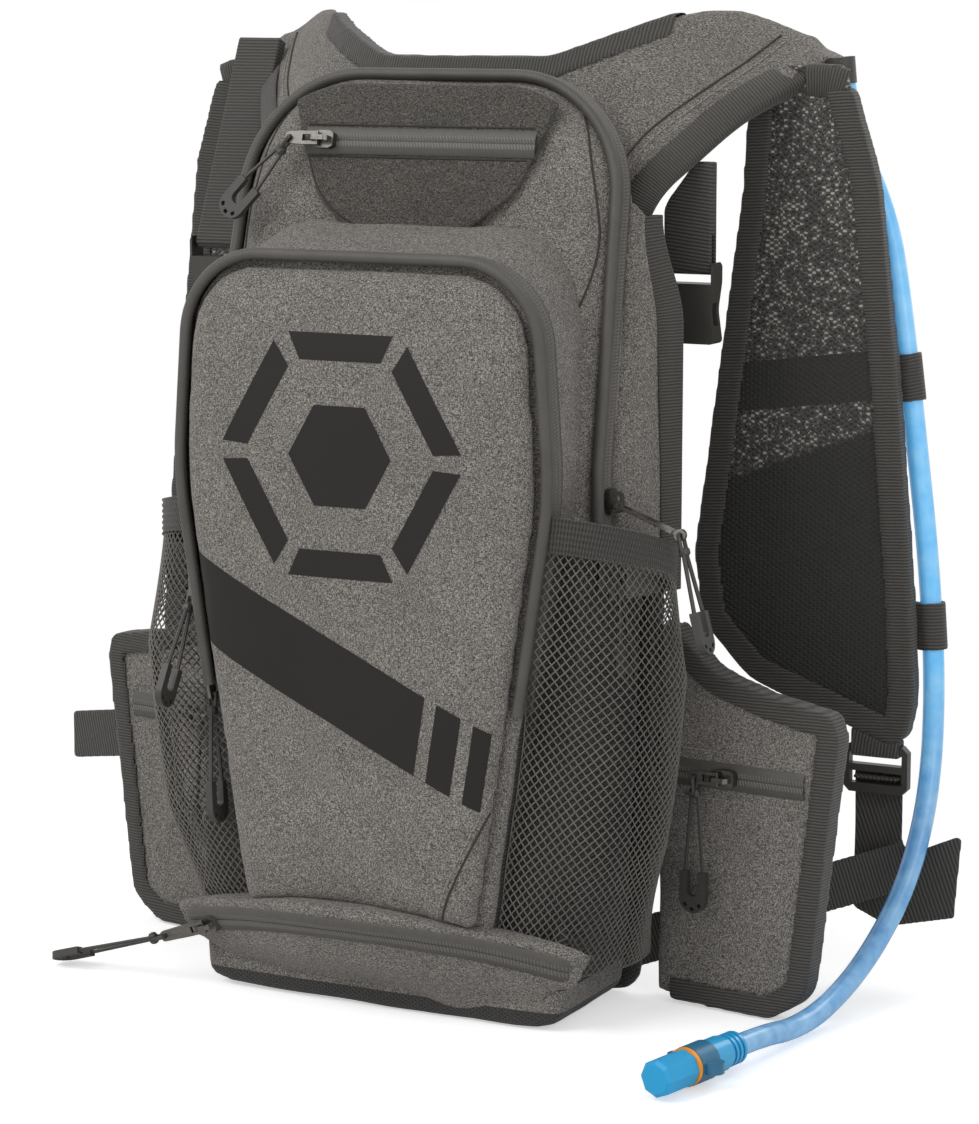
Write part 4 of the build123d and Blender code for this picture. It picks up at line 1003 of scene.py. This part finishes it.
def woven(name, dark, light, pitch, twist):
    """Narrow ribbed weave: ribs of a pitch in metres run across the length of a tape, and
    twist says by what share of a pitch they wander. Real ribs are taken to be 1 mm apart, so
    these are drawn coarser."""
    material, tree, surface, place = new_material(name)
    along = add(tree, "ShaderNodeAttribute", attribute_name="along")
    ripple = add(tree, "ShaderNodeTexNoise", {0: place, "Scale": per_metre(3.85), "Detail": 2.0})
    bent = add(tree, "ShaderNodeMath", {0: ripple.outputs[0], 1: pitch * twist,
                                        2: along.outputs["Fac"]}, operation="MULTIPLY_ADD")
    phase = add(tree, "ShaderNodeMath", {0: bent.outputs[0], 1: 2 * math.pi / pitch},
                operation="MULTIPLY")
    rib = add(tree, "ShaderNodeMath", {0: phase.outputs[0]}, operation="SINE")
    rib = add(tree, "ShaderNodeMapRange", {"Value": rib.outputs[0], "From Min": -0.9,
                                           "From Max": 0.7})
    yarn = add(tree, "ShaderNodeTexNoise", {0: place, "Scale": per_metre(0.77), "Detail": 2.0})
    tone = add(tree, "ShaderNodeMix", {0: rib.outputs[0], 6: srgb(dark), 7: srgb(light)},
               data_type="RGBA")
    lit = add(tree, "ShaderNodeMapRange", {"Value": yarn.outputs[0], "To Min": 0.7, "To Max": 1.3})
    shade = add(tree, "ShaderNodeVectorMath", {0: tone.outputs[2], "Scale": lit.outputs[0]},
                operation="SCALE")
    relief = add(tree, "ShaderNodeBump", {"Height": rib.outputs[0], "Strength": 0.7,
                                          "Distance": 0.0004})
    weave = add(tree, "ShaderNodeBsdfPrincipled",
                {"Base Color": shade.outputs[0], "Roughness": 0.7, "Sheen Weight": 0.15,
                 "Normal": relief.outputs[0]})
    tree.links.new(weave.outputs[0], surface)
    return material


def grained(piece):
    """Keep on each point how far it lies along its own strap, in metres, for the ribs. A strap
    runs the way that its points spread most, found by turning a first guess to it."""
    bm = bmesh.new()
    bm.from_mesh(piece.data)
    layer = bm.verts.layers.float.new("along")
    left = set(bm.verts)
    while left:
        island, edge = [], [left.pop()]
        while edge:
            vertex = edge.pop()
            island.append(vertex)
            for link in vertex.link_edges:
                other = link.other_vert(vertex)
                if other in left:
                    left.discard(other)
                    edge.append(other)
        middle = sum((v.co for v in island), Vector()) / len(island)
        first = max(island, key=lambda v: (v.co - middle).length).co
        run = (first - middle).normalized()
        for turn in range(8):
            run = sum(((v.co - middle) * (v.co - middle).dot(run) for v in island), Vector())
            run.normalize()
        for vertex in island:
            vertex[layer] = (vertex.co - middle).dot(run)
    bm.to_mesh(piece.data)
    bm.free()
    return piece


binding_weave = woven("woven_binding", "#211f1b", "#4c4944", 0.0015, 0.5)
# the tapes are softened together with the cloth they are sewn round; skin that lies further
# than tape_reach, in mm, from any tape is the cloth's own and is then taken away
tape_reach = 0.85
bound = "shoulder_yoke shoulder_strap_right shoulder_strap_left hip_wing_right hip_wing_left"
bindings = soft_copy("edge_bindings_cloth", "edge_bindings " + bound, 1.25, 1, binding_weave)
edge_skin = skin(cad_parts["edge_bindings"])
bm = bmesh.new()
bm.from_mesh(bindings.data)
off = [face for face in bm.faces
       if edge_skin.find_nearest(face.calc_center_median() * 1000, tape_reach)[0] is None]
bmesh.ops.delete(bm, geom=off, context="FACES")
bm.to_mesh(bindings.data)
bm.free()
worked(bindings, lambda place, normal: (0.5 + 0.3 * waves(place, 7, 71)
                                        + 0.25 * waves(place, 22, 72)))
grained(bindings)
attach(bindings, "pack")
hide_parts("edge_bindings")

# side panels of body cloth reach back from the main zip to the bound edges of the back panel,
# and the same wide binding is folded over the yoke round each armhole; a fold's section goes
# from its front edge round to its back, in mm
panel_low, panel_high = 200, 384
panel_fold = [(13, 0.2), (12.6, 0.9), (6, 1.2), (0, 1.2), (-1.8, 0.2), (-2.2, -2.5), (-1.4, -5.5),
              (2, -6.4), (10, -6.4)]
arm_fold = [(12.5, 0.2), (12, 1.0), (6, 1.3), (0, 1.3), (-2.2, 0.3), (-3.0, -3), (-2.6, -7),
            (-1, -10.6), (3, -11), (9, -10.6)]


def side_near(z, side):
    """Where a side panel starts, just behind the main zip, at a height."""
    return Vector((side * (widest - 0.3 - 9 * max(0, z - 215) / 225), seam_y(z) + 6, z))


def side_edge(z, side):
    """Outer edge of a side panel at a height."""
    return Vector((side * (119 - 11 * ease((z - 325) / 50)), 42.5, z))


def side_out(z, side):
    """How a side panel faces at a height."""
    way = side_edge(z, side) - side_near(z, side)
    return side * Vector((way.y, -way.x, 0)).normalized()


def folded_over(name, corners, side, profile):
    """A tape folded over the edge of what lies behind it; its body is left of the way it runs."""
    line = smooth_line([(x, 0, z) for x, z in corners], 3.0)
    heel = 5
    path, ways = [], []
    for a, b in zip(line, line[1:]):
        inward = Vector((a.z - b.z, 0, b.x - a.x)).normalized()
        found = [hit for surface in shoulder_skins for hit in onto(surface, [a + inward * heel])]
        if found:
            hit, normal = min(found, key=lambda pair: pair[0].y)
            path.append(Vector((a.x * side, hit.y, a.z)))
            ways.append(Vector((normal.x * side, normal.y, normal.z)))
    ways = [sum(ways[max(0, k - 2):k + 3], Vector()).normalized() for k in range(len(ways))]
    inner = [(a + b * 2 + c) / 4 for a, b, c in zip(path, path[1:], path[2:])]
    path = [path[0], *inner, path[-1]]
    if side < 0:
        path.reverse()
        ways.reverse()

    def faces(p):
        return ways[min(range(len(path)), key=lambda k: (path[k] - p).length)]

    tape = swept(name, path, faces, profile, binding_weave)
    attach(tape, "pack")


shoulder_skins = [yoke_skin, skin(bpy.data.objects["strap_right_cloth"])]
for side, word in ((1, "right"), (-1, "left")):
    def side_place(u, v):
        z = panel_low + (panel_high - panel_low - 16 * u) * v
        bow = (2.2 * math.sin(math.pi * min(1, 1.5 * u))
               + 0.4 * waves(Vector((u * 40, side * 9, z)), 26, 33))
        return side_near(z, side).lerp(side_edge(z, side), u) + side_out(z, side) * bow

    flank = laid("side_panel_" + word, 8, 44, side_place, (34, 172), heather_polyester)
    if sum(face.normal.x * side for face in flank.data.polygons) < 0:
        flank.data.flip_normals()
    thick = flank.modifiers.new("thick", "SOLIDIFY")
    thick.thickness = 0.0022
    thick.offset = -1
    applied(flank)
    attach(flank, "pack")
    levels = [panel_low + 4.4 * k for k in range(41)]
    line = [side_edge(z, side) + side_out(z, side) * 0.7 for z in levels]
    if side < 0:
        line.reverse()
    edge_tape = swept("side_binding_" + word, line, lambda p: side_out(p.z, side), panel_fold,
                      binding_weave)
    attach(edge_tape, "pack")
    folded_over("armhole_binding_" + word, ((97, 364), (103, 383), (117, 403), (133, 423),
                                            (149, 438), (158, 444), (165, 446)), side, arm_fold)
    folded_over("strap_head_binding_" + word, ((179, 437), (172, 440), (163, 442), (149, 442)),
                side, arm_fold)

# -------------------------------------------------------------- webbing, keepers and hems
# Nylon webbing of 25 mm with fine cross ribs, the elastic loops that hold the hose, and the
# ribbed elastic that gathers each net.
webbing_weave = woven("ribbed_nylon_webbing", "#211f1c", "#4b4843", 0.0017, 0.25)
webbing = soft_copy("webbing_cloth", "webbing_straps", 0.85, 2, webbing_weave)
worked(webbing, lambda place, normal: 0.25 * waves(place, 30, 81))
grained(webbing)
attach(webbing, "pack")
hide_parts("webbing_straps")
elastic_weave = woven("ribbed_elastic", "#24221f", "#45423d", 0.0016, 0.4)
keepers = soft_copy("keepers_cloth", "hose_keepers", 0.7, 2, elastic_weave)
grained(keepers)
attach(keepers, "pack")
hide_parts("hose_keepers")

# ------------------------------------------------------------------------- side nets
# Each side pocket is a knotted nylon net of 3 mm diamonds that bags out from the body, hemmed
# at its sloping mouth with ribbed elastic. Loose folds run down it.
net_nylon, tree, surface, place = new_material("knotted_nylon_net")
# the strands' light flecks are painted highlights on the dark nylon, mixed in at random
fibre_and_highlight = add(tree, "ShaderNodeTexNoise", {0: place, "Scale": per_metre(0.667), "Detail": 2.0})
worn = add(tree, "ShaderNodeTexNoise", {0: place, "Scale": per_metre(22.2), "Detail": 2.0})
tone = add(tree, "ShaderNodeMix", {0: fibre_and_highlight.outputs[0], 6: srgb("#2b2926"), 7: srgb("#8a857d")},
           data_type="RGBA")
lit = add(tree, "ShaderNodeMapRange", {"Value": worn.outputs[0], "To Min": 0.8, "To Max": 1.2})
shade = add(tree, "ShaderNodeVectorMath", {0: tone.outputs[2], "Scale": lit.outputs[0]},
            operation="SCALE")
strand = add(tree, "ShaderNodeBsdfPrincipled", {"Base Color": shade.outputs[0], "Roughness": 0.55,
                                                "Sheen Weight": 0.1})
tree.links.new(strand.outputs[0], surface)
# how far the bag stands out at each height, then the flat net, its diamonds and its strands, mm
net_shape = [(24, 2), (84, 24), (165, 36), (246, 24)]
net_span, net_tall, net_cell, net_strand = 136.0, 190.0, 3.3, 0.95
net_low, net_off = 24, 1.0
# depths at which a net is sewn in front, stands out most and is sewn at the back
net_front_y, net_bulge_y, net_back_y = -43, -8, 36
mouth_high, mouth_slope, mouth_from_y = 254, 0.3235, -80
front_low, front_low_half, front_widest_half, front_widest_rise = 40, 65.0, 32.5, 215


def front_half(z):
    """Half width of the front pocket at a height."""
    return max(front_low_half,
               front_low_half + front_widest_half * (z - front_low) / front_widest_rise)


def net_place(share, z, side, out=0.0):
    """Point of a net: a share of its way from the front pocket to the back panel, at a height.
    Seen from above it lies on the circle through its two seams and its bulge."""
    low, high = next((pair for pair in zip(net_shape, net_shape[1:]) if z <= pair[1][0]),
                     net_shape[-2:])
    full = widest + low[1] + (high[1] - low[1]) * (z - low[0]) / (high[0] - low[0])
    # the left mouth is sewn further back, clear of the front zip's pulls
    set_back = -8 if side > 0 else 14
    a = Vector((front_half(z) + 0.3, net_front_y + set_back * ease((z - 130) / 60)))
    b, c = Vector((full, net_bulge_y)), Vector((widest + 4, net_back_y))
    ab, ac = b - a, c - a
    twice = 2 * (ab.x * ac.y - ab.y * ac.x)
    centre = a + Vector((ac.y * ab.length_squared - ab.y * ac.length_squared,
                         ab.x * ac.length_squared - ac.x * ab.length_squared)) / twice
    start = math.atan2(a.y - centre.y, a.x - centre.x)
    end = math.atan2(c.y - centre.y, c.x - centre.x)
    if end < start:
        end += 2 * math.pi
    angle = start + (end - start) * share
    radius = (a - centre).length + out
    return Vector((side * (centre.x + radius * math.cos(angle)),
                   centre.y + radius * math.sin(angle), z))


def net_mouth(share, drop, side):
    """Height of a net's sloping mouth, or of a line some mm under it. The slope follows the
    depth, which itself hangs on the height, so the answer is closed in on from a first guess."""
    z = 220.0
    for step in range(4):
        z = mouth_high - drop - mouth_slope * (net_place(share, z, side).y - mouth_from_y)
    return z


def net_fold(share, z, side):
    """Loose folds of the net in mm."""
    bag = math.sin(math.pi * share) * math.sin(math.pi * min(1, max(0, (z - 20) / 215)))
    crumple = waves(Vector((90 * share, side * 20, z * 0.5)), 24, 90)
    return bag * (1.5 * math.sin(17 * share + 0.02 * z) + 1.8 * crumple)


gusset_skin = skin(gusset)


def dark_mesh_on(piece, cuts, inside):
    """Give part of a piece the dark mesh: cut it along planes, then mark the faces inside."""
    bm = bmesh.new()
    bm.from_mesh(piece.data)
    for co, no in cuts:
        bmesh.ops.bisect_plane(bm, geom=bm.verts[:] + bm.edges[:] + bm.faces[:],
                               plane_co=Vector(co) / 1000, plane_no=no)
    for face in bm.faces:
        if inside(face.calc_center_median() * 1000, face.normal):
            face.material_index = 1
    bm.to_mesh(piece.data)
    bm.free()
    piece.data.materials.append(back_knit)


# inside the nets the body gets the dark mesh as painted shade of each pocket's inside; under the
# pack's floor it is the mesh floor
dark_mesh_on(pouch, [((0, 0, 9), (0, 0, 1)), ((0, 0, 20), (0, 0, 1))],
      lambda c, n: (abs(c.x) > front_half(c.z) - 8 and 20 < c.z < 236 - 0.32 * (c.y + 30)
                    and c.y < 30) or c.z < 9)
dark_mesh_on(gusset, [((0, -45, 0), (0, 1, 0)), ((0, 0, 20), (0, 0, 1))],
      lambda c, n: abs(c.x) > front_half(c.z) - 12 and c.y > -45 and 20 < c.z < 232)
for side, word in ((1, "right"), (-1, "left")):
    bm = bmesh.new()
    reach = (net_span + net_tall) / 2 / math.sqrt(2) + net_cell
    lines = round(2 * reach / net_cell)
    middle = Matrix.Translation((net_span / 2, net_tall / 2, 0))
    turned = middle @ Matrix.Rotation(math.radians(45), 4, "Z")
    bmesh.ops.create_grid(bm, x_segments=lines, y_segments=lines, size=reach, matrix=turned)
    for co, no in (((0, 0, 0), (-1, 0, 0)), ((net_span, 0, 0), (1, 0, 0)),
                   ((0, 0, 0), (0, -1, 0)), ((0, net_tall, 0), (0, 1, 0))):
        bmesh.ops.bisect_plane(bm, geom=bm.verts[:] + bm.edges[:] + bm.faces[:], plane_co=co,
                               plane_no=no, clear_outer=True)
    for v in bm.verts:
        share, height = v.co.x / net_span, v.co.y / net_tall
        z = net_low + (net_mouth(share, 14, side) - net_low) * height
        v.co = net_place(share, z, side, net_fold(share, z, side) - 0.6)
        for under in (pouch_skin, gusset_skin):
            hit, normal, index, far = under.find_nearest(v.co)
            if (v.co - hit).dot(normal) < net_off:
                v.co = hit + normal * net_off
    bmesh.ops.recalc_face_normals(bm, faces=bm.faces)
    net = made("net_" + word, bm, net_nylon)
    wires = net.modifiers.new("strands", "WIREFRAME")
    wires.thickness = net_strand / 1000
    wires.use_even_offset = False
    wires.use_boundary = True
    applied(net)
    for face in net.data.polygons:
        face.use_smooth = True
    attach(net, "pack")
    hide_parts("mesh_pocket_" + word)
    shares = [k / 60 for k in range(61)]
    mouth = [net_place(s, net_mouth(s, 7.5, side), side, 0.4) for s in shares]
    if side > 0:
        mouth.reverse()
    # six ribs across the elastic, then its flat back
    ribs = [(8.2 - 16.4 * k / 36, 0.75 + 0.35 * math.cos(2 * math.pi * k / 6)) for k in range(37)]
    band = ribs[::-1] + [(8.4, -0.5), (-8.4, -0.5)]
    band.append(band[0])
    hem = swept("hem_" + word, mouth,
                lambda p: Vector((p.x - side * 100, p.y - 4, 0)).normalized(), band, elastic_weave)
    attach(hem, "pack")
    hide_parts("pocket_hems")

# ------------------------------------------------------------------ plastic and metal parts
# Moulded acetal buckles and ladder locks, die-cast zip sliders with dark nickel plating, pulls
# of braided cord in a moulded grip, and the hose's snap-on valve.


def moulded(name, code, roughness, grain, depth, **extra):
    """Injection-moulded plastic with a little rubbed gloss and the fine texture of its mould:
    grain is its spacing and depth its height, in mm, both coarser than real, so that they show."""
    material, tree, surface, place = new_material(name)
    pits = add(tree, "ShaderNodeTexNoise", {0: place, "Scale": per_metre(grain), "Detail": 3.0})
    rubbed = add(tree, "ShaderNodeTexNoise", {0: place, "Scale": per_metre(18.2), "Detail": 3.0})
    lit = add(tree, "ShaderNodeMapRange", {"Value": rubbed.outputs[0], "To Min": 0.86,
                                           "To Max": 1.14})
    tone = add(tree, "ShaderNodeVectorMath", {0: srgb(code)[:3], "Scale": lit.outputs[0]},
               operation="SCALE")
    gloss = add(tree, "ShaderNodeMapRange", {"Value": rubbed.outputs[0], "To Min": roughness - 0.08,
                                             "To Max": roughness + 0.08})
    relief = add(tree, "ShaderNodeBump", {"Height": pits.outputs[0], "Strength": 0.25,
                                          "Distance": depth / 1000})
    plastic = add(tree, "ShaderNodeBsdfPrincipled",
                  {"Base Color": tone.outputs[0], "Roughness": gloss.outputs[0],
                   "Normal": relief.outputs[0], **extra})
    tree.links.new(plastic.outputs[0], surface)
    return material


def plated(name, code, roughness):
    """Plated die-cast metal with fine tumbling scratches."""
    material, tree, surface, place = new_material(name)
    drawn = add(tree, "ShaderNodeMapping",
                {0: place, "Scale": [per_metre(mm) for mm in (2.5, 0.385, 1.11)]})
    marks = add(tree, "ShaderNodeTexNoise", {0: drawn.outputs[0], "Scale": 1.0, "Detail": 3.0})
    gloss = add(tree, "ShaderNodeMapRange", {"Value": marks.outputs[0], "To Min": roughness - 0.1,
                                             "To Max": roughness + 0.12})
    tone = add(tree, "ShaderNodeMix", {0: marks.outputs[0], 6: srgb(code), 7: srgb("#8d8a85")},
               data_type="RGBA")
    tone.inputs[0].default_value = 0.2
    relief = add(tree, "ShaderNodeBump", {"Height": marks.outputs[0], "Strength": 0.12,
                                          "Distance": 0.0001})
    metal = add(tree, "ShaderNodeBsdfPrincipled",
                {"Base Color": tone.outputs[2], "Metallic": 1.0, "Roughness": gloss.outputs[0],
                 "Normal": relief.outputs[0]})
    tree.links.new(metal.outputs[0], surface)
    return material


# buckles and ladder locks are black acetal, smooth and a little waxy; the cord grips are a
# duller, softer elastomer
acetal = moulded("acetal_buckle", "#3d3b37", 0.42, 0.455, 0.12)
grip_moulding = moulded("cord_grip_elastomer", "#3b3935", 0.45, 0.625, 0.2)
# sliders are dark nickel, tabs gunmetal, and the long tab of the main zip a paler brushed nickel
slider_plate = plated("slider_dark_nickel", "#4a4844", 0.34)
tab_plate = plated("tab_gunmetal", "#57544f", 0.36)
long_tab_plate = plated("tab_brushed_nickel", "#8b8882", 0.28)
# the valve is tinted ABS with a clear gloss, its collar a deeper blue, and the ring between
# them an orange elastomer
valve_moulding = moulded("valve_tinted_abs", "#1fa6dc", 0.3, 0.556, 0.1, **{"Coat Weight": 0.4})
collar_moulding = moulded("collar_blue_abs", "#2c6f93", 0.34, 0.556, 0.1)
ring_moulding = moulded("ring_orange_tpe", "#f29a2c", 0.45, 0.667, 0.1)
# light goes a few millimetres into the silicone of the bite piece, and furthest as blue
bite_silicone = moulded("bite_silicone", "#1ba4dc", 0.4, 1.11, 0.2,
                        **{"Subsurface Weight": 0.1, "Subsurface Radius": (0.002, 0.004, 0.006)})
cap_moulding = moulded("cap_polypropylene", "#2a78ad", 0.4, 0.556, 0.1)

# the sleeve that the hose comes out of at the right shoulder
port_line = [Vector((164.6, 126.6, 448 - 1.4 * k)) + Vector((0.12, 0.05, 0)) * k
             for k in range(10)]
port = swept("hose_port_moulding", port_line, lambda p: Vector((0, -1, 0)),
             ring_profile(7.0, 20), acetal)
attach(port, "pack")
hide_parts("hose_port")

# rigid pieces keep their CAD shapes; a longer name comes after the shorter one that it narrows
finish = {"chest_buckle_": acetal, "strap_adjusters": acetal, "zip_slider_": slider_plate,
          "zip_tab_": tab_plate, "zip_tab_main_upper": long_tab_plate,
          "zip_grip_": grip_moulding, "valve_body": valve_moulding,
          "shutoff_collar": collar_moulding, "valve_ring": ring_moulding,
          "bite_valve": bite_silicone, "reservoir_cap": cap_moulding}
for name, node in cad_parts.items():
    for start, material in finish.items():
        if name.startswith(start):
            for slot in node.material_slots:
                slot.material = material

# -------------------------------------------------------------------------- drinking bladder
# A welded bag of tinted polyurethane film, full of water, which hangs inside the main pouch.
# It is made as one soft bulge, and shows only when the pouch is taken off.
bag_film = moulded("bladder_film", "#6fb2d6", 0.25, 3.33, 0.2)
bag = soft_copy("reservoir_film", "reservoir", 4.0, 5, bag_film)
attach(bag, "pack")
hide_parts("reservoir")
